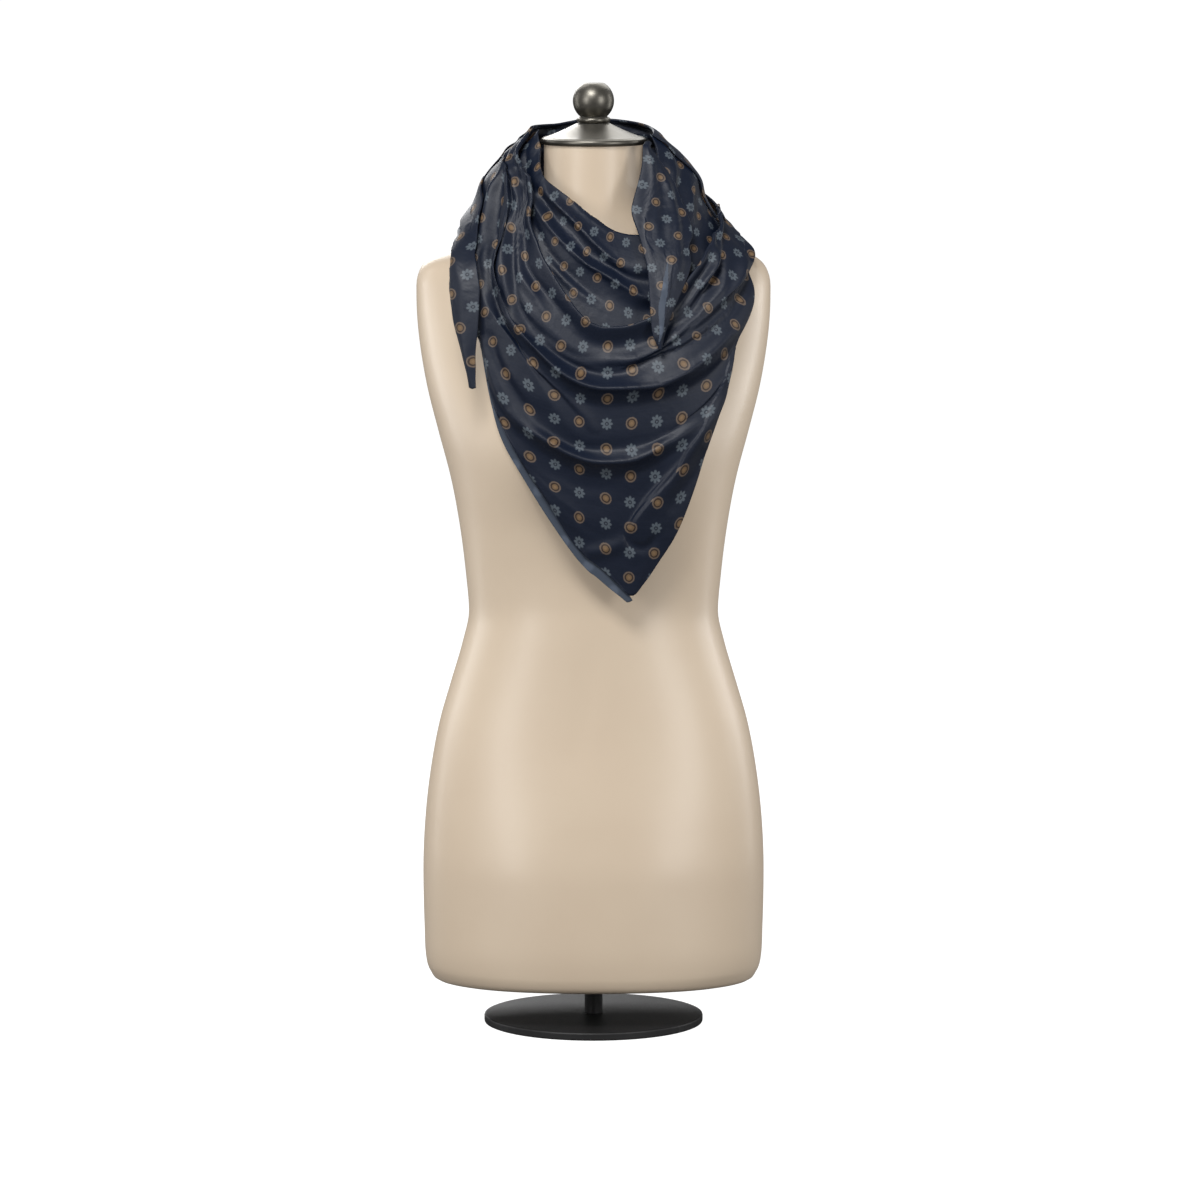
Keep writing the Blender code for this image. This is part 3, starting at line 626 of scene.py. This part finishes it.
def lay_flat(points, plan=None):
    """Where each point lay while the cloth was flat, found by letting a net of threads relax."""
    level = np.linalg.norm(np.diff(points[:, :, :2], axis=1), axis=2)
    across = np.concatenate([np.zeros((len(points), 1)), np.cumsum(level, axis=1)], axis=1)
    across -= across[:, across.shape[1] // 2][:, None]
    if plan is None:
        plan = np.stack([across, points[:, :, 2]], axis=-1)
    whole, first, last = slice(None), slice(None, -1), slice(1, None)
    threads = (((whole, first), (whole, last), 1.0), ((first, whole), (last, whole), 1.0),
               ((first, first), (last, last), SLANT_THREAD),
               ((first, last), (last, first), SLANT_THREAD))
    lengths = [np.linalg.norm(points[end] - points[start], axis=2) for start, end, _ in threads]
    for _ in range(NET_ROUNDS):
        move, pull = np.zeros_like(plan), np.zeros(plan.shape[:2])
        for (start, end, stiffness), length in zip(threads, lengths):
            apart = plan[end] - plan[start]
            now = np.maximum(np.linalg.norm(apart, axis=2), 1e-6)
            push = apart * ((1 - length / now) * 0.5 * stiffness)[:, :, None]
            move[start] += push
            move[end] -= push
            pull[start] += stiffness
            pull[end] += stiffness
        plan += NET_PACE * move / pull[:, :, None]
    return plan


def print_plan(turns, heights):
    """Flat places of the cloth at these angles and heights, from an even net on the figure."""
    plan = None
    for size in NET_SIZES:
        across = np.linspace(turns.min(), turns.max(), size)
        down = np.linspace(heights.min(), heights.max(), size)
        net = on_figure(*np.meshgrid(across, down), CLOTH_LIFT)
        plan = lay_flat(net, None if plan is None else refine(plan, (size, size)))
    column = (turns - across[0]) / (across[1] - across[0])
    row = (heights - down[0]) / (down[1] - down[0])
    i, j = (np.clip(part.astype(int), 0, size - 2) for part in (row, column))
    s, t = (row - i)[:, :, None], (column - j)[:, :, None]
    low = plan[i, j] * (1 - t) + plan[i, j + 1] * t
    high = plan[i + 1, j] * (1 - t) + plan[i + 1, j + 1] * t
    return low * (1 - s) + high * s


def refine(plan, shape):
    """Coarse plan read at the places of a finer grid."""
    rows, columns = np.linspace(0, 1, plan.shape[0]), np.linspace(0, 1, plan.shape[1])
    fine_rows, fine_columns = np.linspace(0, 1, shape[0]), np.linspace(0, 1, shape[1])
    fine = np.empty((*shape, 2))
    for kind in range(2):
        wide = np.array([smooth_curve(columns, row, fine_columns) for row in plan[:, :, kind]])
        fine[:, :, kind] = np.array([smooth_curve(rows, column, fine_rows) for column in wide.T]).T
    return fine


def row_rise(drift, x, height):
    """How much higher than at the middle the print's rows lie, from a table at two heights."""
    (low, low_places, low_rises), (high, high_places, high_rises) = drift
    share = np.clip((height - low) / (high - low), 0, 1)
    low_rise = smooth_curve(low_places, low_rises, x)
    high_rise = smooth_curve(high_places, high_rises, x)
    return (1 - share) * low_rise + share * high_rise


def mesh_from_grid(name, points, plan):
    """Smooth mesh over a grid of points, with the cloth's own plan as its map."""
    rows, columns = points.shape[:2]
    number = np.arange(rows * columns).reshape(rows, columns)
    faces = np.stack([number[:-1, :-1], number[1:, :-1], number[1:, 1:], number[:-1, 1:]], axis=-1)
    mesh = bpy.data.meshes.new(name)
    mesh.from_pydata((points.reshape(-1, 3) * MM).tolist(), [], faces.reshape(-1, 4).tolist())
    corners = np.zeros(len(mesh.loops), int)
    mesh.loops.foreach_get("vertex_index", corners)
    chart = mesh.uv_layers.new(name="cloth")
    chart.uv.foreach_set("vector", (plan.reshape(-1, 2)[corners] * MM).ravel())
    mesh.shade_smooth()
    mesh.validate()
    return mesh


def add_piece(name, mesh, finishes, replaced):
    """Puts a piece in the scene, on the body, in place of its solid."""
    piece = bpy.data.objects.new(name, mesh)
    bpy.context.scene.collection.objects.link(piece)
    for finish in finishes:
        mesh.materials.append(finish)
    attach(piece, "root")
    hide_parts(replaced)
    return piece


def show_reverse(piece, line, width):
    """Gives the faces near a line the cloth's reverse, in a strip that tapers to its ends."""
    middles = np.array([face.center for face in piece.data.polygons]) / MM
    way, _, share = crease_line(line)
    apart = np.linalg.norm(middles[:, None, ::2] - way[None, :, ::2], axis=2)
    near = apart.argmin(axis=1)
    inside = apart.min(axis=1) < width * np.sin(np.pi * share[near]) ** 0.7
    piece.data.polygons.foreach_set("material_index", inside.astype(int))


def place_print(turns, heights, centre, turn, gather, crimp):
    """Plan of a stretch's print: one motif at the centre, the rows turned, more cloth in gathers."""
    plan = print_plan(turns, heights) * crimp
    middle = np.argmin(((turns - centre[0]) * DEGREE) ** 2 + (heights - centre[1]) ** 2)
    plan = plan - plan.reshape(-1, 2)[middle]
    lean = math.radians(turn)
    plan = plan @ np.array([[math.cos(lean), -math.sin(lean)], [math.sin(lean), math.cos(lean)]])
    low, high = GATHER_HEIGHTS
    share = np.clip((heights - low) / (high - low), 0, 1)
    plan[:, :, 0] *= 1 + gather * share * share * (3 - 2 * share)
    return plan


def cloth_piece(node, folds, creases, finishes, across, between,
                edges=(), centre=(0, 0), turn=0, off=0.0, waves=0.35, drift=None,
                gather=0.0, crimp=1.0, reverse=None, lap=0.0):
    """One stretch of the scarf: main folds, creases, slack, turned edges and the print's plan."""
    cloth = hang(folds, across, between)
    cloth[:, :, 2] += off
    if lap:
        end = np.linspace(1, -1, across + 1)
        cloth[:, :, 0] += lap * end
        cloth[:, :, 2] += SEAM_RISE * abs(end) ** 12
    flipped = folds[len(folds) // 2][1][0] > folds[len(folds) // 2][-1][0]
    if flipped:
        cloth = cloth[:, ::-1]
    turns, heights, lifts = np.moveaxis(cloth, 2, 0)
    bare = on_figure(turns, heights, lifts)
    rise, shift = crease_lift(bare, creases)
    rise += slack(rise.shape, waves, across * 0.9, between * 2.2, SEED + len(node))
    shrink = np.minimum(1, np.linalg.norm(bare[:, -1] - bare[:, 0], axis=1) / FULL_WIDTH)
    points = on_figure(turns, heights, lifts + rise * shrink[:, None])
    plan = place_print(turns, heights, centre, turn, gather, crimp) - shift
    if drift:
        plan[:, :, 1] -= row_rise(drift, points[:, :, 0], points[:, :, 2])
    points, plan = finish_edges(points, plan, edges)
    mesh = mesh_from_grid(node, points, plan)
    piece = add_piece(node + "_cloth", mesh, finishes, node)
    if reverse:
        show_reverse(piece, *reverse)
    wall = piece.modifiers.new("Cloth", "SOLIDIFY")
    wall.thickness = LAYER * MM
    wall.offset = -1


def satin_ground(tree):
    """Map of the cloth, its slubs along the threads, and the lattice of its print."""
    chart = add_node(tree, "UVMap", {"uv_map": "cloth"}, {}).outputs["UV"]
    threads = add_node(tree, "VectorMath", {"operation": "MULTIPLY"},
                       {0: chart, 1: (1 / (SLUB_LONG * MM), 1 / (SLUB_WIDE * MM), 0)})
    slubs = add_node(tree, "TexNoise", {},
                     {"Vector": threads.outputs["Vector"], "Scale": 1.0, "Detail": 2.0})
    lattice = add_node(tree, "VectorMath", {"operation": "SCALE"},
                       {0: chart, "Scale": 1 / (PRINT_PITCH * MM)})
    return chart, slubs.outputs["Fac"], lattice.outputs["Vector"]


def petal_line(tree, apart):
    """Edge of the floret: how far its petals reach in each direction from its middle."""
    parts = add_node(tree, "SeparateXYZ", {}, {0: apart})
    bearing = add_node(tree, "Math", {"operation": "ARCTAN2"},
                       {0: parts.outputs["Y"], 1: parts.outputs["X"]})
    around = add_node(tree, "Math", {"operation": "MULTIPLY"}, {0: bearing.outputs[0], 1: PETALS / 2})
    swing = add_node(tree, "Math", {"operation": "COSINE"}, {0: around.outputs[0]})
    size = add_node(tree, "Math", {"operation": "ABSOLUTE"}, {0: swing.outputs[0]})
    lobe = add_node(tree, "Math", {"operation": "POWER"}, {0: size.outputs[0], 1: 0.6})
    return add_node(tree, "Math", {"operation": "MULTIPLY_ADD"},
                    {0: lobe.outputs[0], 1: PETAL_DEPTH, 2: FLORET_RADIUS - PETAL_DEPTH}).outputs[0]


def print_colours(tree, lattice, ground):
    """Colour of the printed face: medallions and florets by turns on the ground colour."""
    shifted = add_node(tree, "VectorMath", {"operation": "ADD"}, {0: lattice, 1: (0.5, 0.5, 0)})
    cell = add_node(tree, "VectorMath", {"operation": "FLOOR"}, {0: shifted.outputs[0]}).outputs[0]
    apart = add_node(tree, "VectorMath", {"operation": "SUBTRACT"}, {0: lattice, 1: cell}).outputs[0]
    away = add_node(tree, "VectorMath", {"operation": "SCALE"}, {0: apart, "Scale": PRINT_PITCH})
    reach = add_node(tree, "VectorMath", {"operation": "LENGTH"}, {0: away.outputs[0]})
    bleed = add_node(tree, "TexNoise", {}, {"Vector": lattice, "Scale": 14.0, "Detail": 1.0})
    wander = add_node(tree, "Math", {"operation": "MULTIPLY_ADD"},
                      {0: bleed.outputs["Fac"], 1: INK_BLEED, 2: -INK_BLEED / 2})
    radius = add_node(tree, "Math", {"operation": "ADD"},
                      {0: reach.outputs["Value"], 1: wander.outputs[0]}).outputs[0]
    share = add_node(tree, "Math", {"operation": "DIVIDE"}, {0: radius, 1: MOTIF_REACH}).outputs[0]

    # Every other place of the lattice holds a medallion, the rest hold florets
    turn = add_node(tree, "VectorMath", {"operation": "DOT_PRODUCT"}, {0: cell, 1: (0.5, 0.5, 0)})
    rest = add_node(tree, "Math", {"operation": "FRACT"}, {0: turn.outputs["Value"]})
    here = add_node(tree, "Math", {"operation": "GREATER_THAN"}, {0: rest.outputs[0], 1: 0.25})

    medallion = add_node(tree, "ValToRGB", {}, {"Fac": share})
    colour_stops(medallion.color_ramp, MEDALLION_RINGS)
    medallion_cover = add_node(tree, "MapRange", {}, {
        "Value": radius, 1: MEDALLION_RADIUS - 0.3, 2: MEDALLION_RADIUS + 0.3, 3: 1.0, 4: 0.0})
    floret = add_node(tree, "ValToRGB", {}, {"Fac": share})
    colour_stops(floret.color_ramp, FLORET_RINGS)
    beyond = add_node(tree, "Math", {"operation": "SUBTRACT"}, {0: radius, 1: petal_line(tree, apart)})
    floret_cover = add_node(tree, "MapRange", {}, {
        "Value": beyond.outputs[0], 1: -0.8, 2: 0.5, 3: 1.0, 4: 0.0})

    cover = add_node(tree, "Mix", {"data_type": "FLOAT"}, {
        0: here.outputs[0], 2: medallion_cover.outputs[0], 3: floret_cover.outputs[0]})
    motif = add_node(tree, "Mix", {"data_type": "RGBA"}, {
        0: here.outputs[0], 6: medallion.outputs["Color"], 7: floret.outputs["Color"]})
    return add_node(tree, "Mix", {"data_type": "RGBA"},
                    {0: cover.outputs[0], 6: ground, 7: motif.outputs[2]}).outputs[2]


def printed_satin(name):
    """Silk satin with a printed face: a smooth dark ground, and a nap that lights every fold."""
    material, tree, output = new_material(name)
    chart, slubs, lattice = satin_ground(tree)
    ground = add_node(tree, "Mix", {"data_type": "RGBA"},
                      {"Factor": slubs, 6: linear(NAVY), 7: linear(NAVY_THREAD)})
    crumple = add_node(tree, "TexNoise", {}, {"Vector": chart, "Scale": 1 / (CRUMPLE * MM), "Detail": 2.0})
    uneven = add_node(tree, "Bump", {}, {
        "Strength": 0.5, "Distance": 0.9 * MM, "Height": crumple.outputs["Fac"]})
    weave = add_node(tree, "Bump", {}, {
        "Strength": 0.25, "Distance": 0.3 * MM, "Height": slubs, "Normal": uneven.outputs[0]})
    shader = add_node(tree, "BsdfPrincipled", {}, {
        "Base Color": print_colours(tree, lattice, ground.outputs[2]), "Normal": weave.outputs[0],
        "Roughness": 0.5, "IOR": 1.5, "Specular IOR Level": 0.34, "Anisotropic": 0.4,
        "Sheen Weight": 0.12, "Sheen Roughness": 0.25, "Sheen Tint": linear(SHEEN)})
    tree.links.new(shader.outputs[0], output.inputs["Surface"])
    return material


def satin_reverse(name):
    """Matt back of the satin: slate, with the print showing faintly through."""
    material, tree, output = new_material(name)
    _, slubs, lattice = satin_ground(tree)
    ghosts = add_node(tree, "TexVoronoi", {}, {"Vector": lattice, "Scale": 1.0, "Randomness": 0.0})
    faint = add_node(tree, "MapRange", {}, {
        "Value": ghosts.outputs["Distance"], 1: 0.16, 2: 0.28, 3: 1.0, 4: 0.0})
    soft = add_node(tree, "Math", {"operation": "MULTIPLY"}, {0: faint.outputs[0], 1: 0.7})
    colour = add_node(tree, "Mix", {"data_type": "RGBA"},
                      {0: soft.outputs[0], 6: linear(REVERSE_SLATE), 7: linear(REVERSE_GHOST)})
    weave = add_node(tree, "Bump", {}, {"Strength": 0.25, "Distance": 0.3 * MM, "Height": slubs})
    shader = add_node(tree, "BsdfPrincipled", {}, {
        "Base Color": colour.outputs[2], "Normal": weave.outputs[0], "Roughness": 0.6, "IOR": 1.5,
        "Specular IOR Level": 0.25, "Sheen Weight": 0.2, "Sheen Roughness": 0.4,
        "Sheen Tint": linear(SHEEN)})
    tree.links.new(shader.outputs[0], output.inputs["Surface"])
    return material


def moulded_skin(name):
    """Moulded glossy plastic: smooth, a little uneven in tone, with wide soft reflections."""
    material, tree, output = new_material(name)
    place = add_node(tree, "TexCoord", {}, {}).outputs["Object"]
    tone = add_node(tree, "TexNoise", {}, {
        "Vector": place, "Scale": 9.0, "Detail": 3.0, "Roughness": 0.5})
    colour = add_node(tree, "Mix", {"data_type": "RGBA"},
                      {0: tone.outputs["Fac"], 6: linear(SKIN_SHADE), 7: linear(SKIN)})
    peel = add_node(tree, "TexNoise", {}, {"Vector": place, "Scale": 1 / (6 * MM), "Detail": 1.0})
    skin = add_node(tree, "Bump", {}, {
        "Strength": 0.06, "Distance": 0.2 * MM, "Height": peel.outputs["Fac"]})
    shader = add_node(tree, "BsdfPrincipled", {}, {
        "Base Color": colour.outputs[2], "Roughness": 0.42, "IOR": 1.5, "Coat Weight": 0.12,
        "Coat Roughness": 0.22, "Normal": skin.outputs[0]})
    tree.links.new(shader.outputs[0], output.inputs["Surface"])
    return material


def turned_gunmetal(name):
    """Steel turned on a lathe and plated dark: fine rings round the axis that widen its lights."""
    material, tree, output = new_material(name)
    place = add_node(tree, "TexCoord", {}, {}).outputs["Object"]
    # The wave texture repeats 20 times in a unit, so this gives rings 0.9 mm apart
    rings = add_node(tree, "TexWave", {"bands_direction": "Z"}, {
        "Vector": place, "Scale": 1 / (0.9 * 20 * MM), "Distortion": 1.5, "Detail": 2.0})
    cloud = add_node(tree, "TexNoise", {}, {"Vector": place, "Scale": 60.0, "Detail": 4.0})
    rough = add_node(tree, "MapRange", {}, {"Value": cloud.outputs["Fac"], 3: 0.34, 4: 0.46})
    marks = add_node(tree, "Bump", {}, {
        "Strength": 0.08, "Distance": 0.1 * MM, "Height": rings.outputs["Fac"]})
    shader = add_node(tree, "BsdfPrincipled", {}, {
        "Base Color": linear(GUNMETAL), "Metallic": 1.0, "Roughness": rough.outputs[0],
        "Normal": marks.outputs[0]})
    tree.links.new(shader.outputs[0], output.inputs["Surface"])
    return material


def powder_coat(name):
    """Steel under black powder coat: a fine orange peel and a dull, even shine."""
    material, tree, output = new_material(name)
    place = add_node(tree, "TexCoord", {}, {}).outputs["Object"]
    peel = add_node(tree, "TexNoise", {}, {"Vector": place, "Scale": 1 / (1.5 * MM), "Detail": 1.0})
    skin = add_node(tree, "Bump", {}, {
        "Strength": 0.15, "Distance": 0.1 * MM, "Height": peel.outputs["Fac"]})
    rough = add_node(tree, "MapRange", {}, {"Value": peel.outputs["Fac"], 3: 0.42, 4: 0.55})
    shader = add_node(tree, "BsdfPrincipled", {}, {
        "Base Color": linear(BLACK_STEEL), "Roughness": rough.outputs[0], "Normal": skin.outputs[0]})
    tree.links.new(shader.outputs[0], output.inputs["Surface"])
    return material


def paper_floor(name):
    """Matt white studio paper, lit a little from behind as a light table is."""
    material, tree, output = new_material(name)
    shader = add_node(tree, "BsdfPrincipled", {}, {
        "Base Color": linear(PAPER_SHADE), "Roughness": 0.9, "Emission Color": linear(PAPER),
        "Emission Strength": FLOOR_GLOW})
    tree.links.new(shader.outputs[0], output.inputs["Surface"])
    return material


def relief(x, y, height):
    """Bust, belly and the shallow line down the front, all moulded into the shell."""
    side = np.exp(-((abs(x) - BUST_SPREAD) / BUST_WIDTH) ** 2)
    level = np.exp(-((height - BUST_HEIGHT) / BUST_TALL) ** 2)
    front = BUST_FORWARD * side * level
    line = smooth_curve(*np.transpose(GROOVE_LINE), height)
    above = np.clip((height - GROOVE_LINE[0][0]) / GROOVE_RUN_OUT, 0, 1)
    below = np.clip((GROOVE_LINE[-1][0] - height) / GROOVE_RUN_OUT, 0, 1)
    front -= GROOVE_DEPTH * np.exp(-((x - line) / GROOVE_WIDTH) ** 2) * above * below
    across, up = (x - BELLY_CENTRE[0]) / BELLY_SIZE[0], (height - BELLY_CENTRE[1]) / BELLY_SIZE[1]
    front += BELLY_RISE * np.exp(-(across ** 2 + up ** 2) ** 2)
    return np.where(y < 0, front, 0.0)


def torso_shell():
    """Closed shell of the torso on the solid's own sections, with the moulding on its front."""
    sections = np.array(TORSO, float)
    heights = []
    for low, high in zip(sections[:, 0], sections[1:, 0]):
        heights.extend(np.linspace(low, high, max(3, int((high - low) / TORSO_RING)), endpoint=False))
    heights = np.array(heights + [sections[-1, 0]])
    columns = [smooth_curve(sections[:, 0], column, heights) for column in sections.T[1:]]
    turn = np.linspace(0, 2 * np.pi, TORSO_SIDES, endpoint=False)
    rings = []
    for height, wide, fore, aft, square in zip(heights, *columns):
        x, y = section(wide, fore, aft, square, turn)
        y = y - relief(x, y, height)
        rings.append(np.stack([x, y, np.full_like(x, height)], axis=-1))
    points = np.concatenate(rings) * MM
    number = np.arange(len(points)).reshape(len(rings), TORSO_SIDES)
    after = np.roll(number, -1, axis=1)
    faces = np.stack([number[:-1], after[:-1], after[1:], number[1:]], axis=-1).reshape(-1, 4).tolist()
    faces += [number[0][::-1].tolist(), number[-1].tolist()]
    mesh = bpy.data.meshes.new("torso")
    mesh.from_pydata(points.tolist(), [], faces)
    mesh.shade_smooth()
    mesh.set_sharp_from_angle(angle=math.radians(SHARP_EDGE))
    return mesh


def turned_piece(node, profile, finish):
    """Turns a profile of (radius, height), from the top down, round the axis."""
    mesh = bpy.data.meshes.new(node)
    points = [(radius * MM, 0, height * MM) for radius, height in profile]
    mesh.from_pydata(points, [(i, i + 1) for i in range(len(points) - 1)], [])
    piece = add_piece(node + "_turned", mesh, [finish], node)
    screw = piece.modifiers.new("Turn", "SCREW")
    screw.axis = "Z"
    screw.steps = TURN_STEPS
    screw.render_steps = TURN_STEPS
    screw.use_merge_vertices = True
    screw.merge_threshold = 0.00001
    screw.use_smooth_shade = True
    return piece


def neck_cap_profile():
    """Bell plate: a cone that swells out to a rounded rim lying on the neck."""
    foot = NECK_TOP + GAP
    rim_top = foot + CAP_RIM
    profile = [(0, rim_top + CAP_STEP + CAP_CONE)]
    for share in np.linspace(0, 1, 25):
        radius = COLLAR_RADIUS + (CAP_RADIUS - CAP_LIP - COLLAR_RADIUS) * share
        profile.append((radius, rim_top + CAP_STEP + CAP_CONE * (1 - share) ** CONE_SWELL))
    for turn in np.linspace(0.5 * math.pi, -0.5 * math.pi, 13):
        profile.append((CAP_RADIUS - 2.6 + 2.6 * math.cos(turn), foot + 3.2 + 3.2 * math.sin(turn)))
    return profile + [(0, foot)]


def collar_profile(foot):
    """Ring under the ball: a soft bead between two fine steps."""
    top = foot + COLLAR_HEIGHT
    profile = [(0, top), (COLLAR_RADIUS - 2.8, top), (COLLAR_RADIUS - 2.3, top - 0.6)]
    for turn in np.linspace(0.45 * math.pi, -0.45 * math.pi, 11):
        profile.append((COLLAR_RADIUS - 2.4 + 2.4 * math.cos(turn), foot + 3.4 + 2.6 * math.sin(turn)))
    return profile + [(COLLAR_RADIUS - 2.6, foot), (0, foot)]


def ball_profile(foot):
    """Short stem, ball and the small flat on top of it."""
    centre = foot + math.sqrt(BALL_RADIUS ** 2 - BALL_STEM ** 2)
    start = math.asin(BALL_TOP_RADIUS / BALL_RADIUS)
    end = math.pi - math.asin(BALL_STEM / BALL_RADIUS)
    arc = [(BALL_RADIUS * math.sin(turn), centre + BALL_RADIUS * math.cos(turn))
           for turn in np.linspace(start, end, 40)]
    top = arc[0][1]
    flat = [(0, top), (BALL_TOP_RADIUS - 0.5, top), (BALL_TOP_RADIUS, top - 0.15)]
    return flat + arc[1:] + [(0, foot)]


def build_form():
    """Dress form: the solids' own base and pole, and finer surfaces for what is turned or moulded."""
    skin = moulded_skin("moulded_gloss_plastic")
    metal = turned_gunmetal("turned_gunmetal_plate")
    steel = powder_coat("black_powder_coat_on_steel")
    for node in ("form_base", "form_pole"):
        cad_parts[node].material_slots[0].material = steel
    shell = add_piece("form_torso_shell", torso_shell(), [skin], "form_torso")
    cap = turned_piece("form_neck_cap", neck_cap_profile(), metal)
    collar_foot = NECK_TOP + GAP + CAP_RIM + CAP_STEP + CAP_CONE + GAP
    collar = turned_piece("form_collar", collar_profile(collar_foot), metal)
    ball_foot = collar_foot + COLLAR_HEIGHT + GAP
    ball = turned_piece("form_ball", ball_profile(ball_foot), metal)
    return shell, [cap, collar, ball]


def build_scarf():
    """Every stretch of the scarf that shows, each on its own solid's form."""
    face = printed_satin("printed_silk_satin")
    back = satin_reverse("silk_satin_reverse")
    cloth_piece("scarf_front_bib", FRONT_BIB, BIB_CREASES, [face, back],
                236, 13,
                edges=(("left", HEM, 2), ("right", HEM, 2), ("top", NECKLINE_ROLL, 3)),
                centre=(2.6, 640), drift=BIB_DRIFT, gather=0.5)
    cloth_piece("scarf_neck_band", NECK_BAND, BAND_CREASES, [face, back],
                200, 20,
                edges=(("top", NECKLINE_ROLL, 3),), centre=(-5, 806), turn=-20, gather=0.3, crimp=1.1)
    cloth_piece("scarf_left_tail", LEFT_TAIL, LEFT_TAIL_CREASES, [face, back],
                60, 16,
                edges=(("left", HEM, 4), ("right", HEM, 4)), centre=(26, 830), turn=10,
                crimp=1.25, reverse=(TAIL_REVERSE, TAIL_REVERSE_WIDTH))
    cloth_piece("scarf_right_tail", RIGHT_TAIL, RIGHT_TAIL_CREASES, [face, back],
                40, 10,
                edges=(("left", HEM, 3), ("right", HEM, 4)), centre=(-45, 772), turn=-12, off=2.0)
    cloth_piece("scarf_back_wrap_under", BACK_WRAP_UNDER, UNDER_WRAP_CREASES, [face, back],
                130, 10,
                edges=(("top", WRAP_ROLL, 3),), centre=(-200, 885), turn=5, off=2.0, lap=SEAM_LAP)
    cloth_piece("scarf_back_wrap_over", BACK_WRAP_OVER, OVER_WRAP_CREASES, [face, back],
                120, 12,
                edges=(("top", WRAP_ROLL, 3), ("bottom", WRAP_ROLL, 3)), centre=(-180, 830),
                turn=-4, off=2.0, lap=SEAM_LAP)
    cloth_piece("scarf_under_layer", UNDER_LAYER, (), [back],
                16, 12,
                edges=(("left", HEM, 1.5),), centre=(-20, 600), waves=0.15)


def soft_box(name, place, aim, size, power):
    """Square soft box at a place, turned to face a point."""
    light = bpy.data.lights.new(name, "AREA")
    light.shape = "RECTANGLE"
    light.size, light.size_y = size
    light.energy = power
    holder = bpy.data.objects.new(name, light)
    bpy.context.scene.collection.objects.link(holder)
    holder.location = place
    look = mathutils.Vector(aim) - mathutils.Vector(place)
    holder.rotation_euler = look.to_track_quat("-Z", "Y").to_euler()
    return holder


def lit_alone(name, pieces):
    """Collection of the only pieces that a light reaches, or that shade it."""
    lit = bpy.data.collections.new(name)
    for piece in pieces:
        lit.objects.link(piece)
    return lit


def build_studio(shell, metal):
    """Pale floor that runs out of sight, an even pale surround, soft boxes and a card for the metal."""
    mesh = bpy.data.meshes.new("studio_floor")
    reach = FLOOR_REACH
    corners = [(-reach, -reach, 0), (reach, -reach, 0), (reach, reach, 0), (-reach, reach, 0)]
    mesh.from_pydata(corners, [], [(0, 1, 2, 3)])
    floor = bpy.data.objects.new("studio_floor", mesh)
    mesh.materials.append(paper_floor("matt_white_paper"))
    bpy.context.scene.collection.objects.link(floor)
    # The floor's own glow lights the floor alone, so that the cloth keeps its dark undersides
    floor.light_linking.receiver_collection = lit_alone("lit_by_the_floor", [floor])
    world = bpy.data.worlds.new("studio")
    bpy.context.scene.world = world
    world.use_nodes = True
    surround = world.node_tree.nodes["Background"]
    surround.inputs["Color"].default_value = linear(PAPER)
    surround.inputs["Strength"].default_value = SURROUND
    chest = (0, -0.05, 0.68)
    soft_box("key_box", (-0.7, -2.2, 3.2), chest, (1.3, 0.9), 92)
    soft_box("left_box", (-2.0, -2.3, 1.3), chest, (0.9, 1.4), 26)
    soft_box("right_box", (2.1, -2.2, 1.2), chest, (0.8, 1.5), 28)
    card = soft_box("metal_card", (0, 1.5, 2.5), (0, 0, 0.9), (3.2, 2.2), 62)
    card.light_linking.receiver_collection = lit_alone("lit_by_the_card", metal)
    card.light_linking.blocker_collection = lit_alone("shades_the_card", [floor])
    soft_box("back_box", (-0.9, 2.9, 1.9), chest, (1.5, 1.5), 42)
    soft_box("left_strip", (-1.6, 0.5, 0.8), chest, (0.4, 1.6), 6)
    soft_box("right_strip", (1.6, 0.5, 0.8), chest, (0.4, 1.6), 6)
    # The shell is lit nearly flat out to its sides, as in the photograph
    shell_cards = (((-0.9, 0.1, 0.6), 2.0), ((0.9, 0.1, 0.6), 2.6),
                   ((-1.1, -1.6, 0.3), 5.2), ((1.1, -1.6, 0.3), 5.2))
    for place, power in shell_cards:
        card = soft_box("shell_card", place, (0, 0, 0.5), (0.5, 0.5), power)
        card.light_linking.receiver_collection = lit_alone("lit_by_the_shell_card", [shell])
        card.light_linking.blocker_collection = lit_alone("shades_the_shell_card", [floor])


def build_camera():
    """Camera at the photograph's viewing angle."""
    lens = bpy.data.cameras.new("photo_camera")
    lens.lens = CAMERA_LENS
    lens.sensor_width = 36.0
    lens.clip_end = 200.0
    camera = bpy.data.objects.new("photo_camera", lens)
    bpy.context.scene.collection.objects.link(camera)
    camera.location = CAMERA_PLACE
    camera.rotation_euler = (math.radians(CAMERA_TILT), 0, 0)
    bpy.context.scene.camera = camera


moulded_shell, turned_parts = build_form()
build_scarf()
build_studio(moulded_shell, turned_parts)
build_camera()
bpy.context.scene.view_settings.view_transform = "Standard"

bpy.context.view_layer.update()
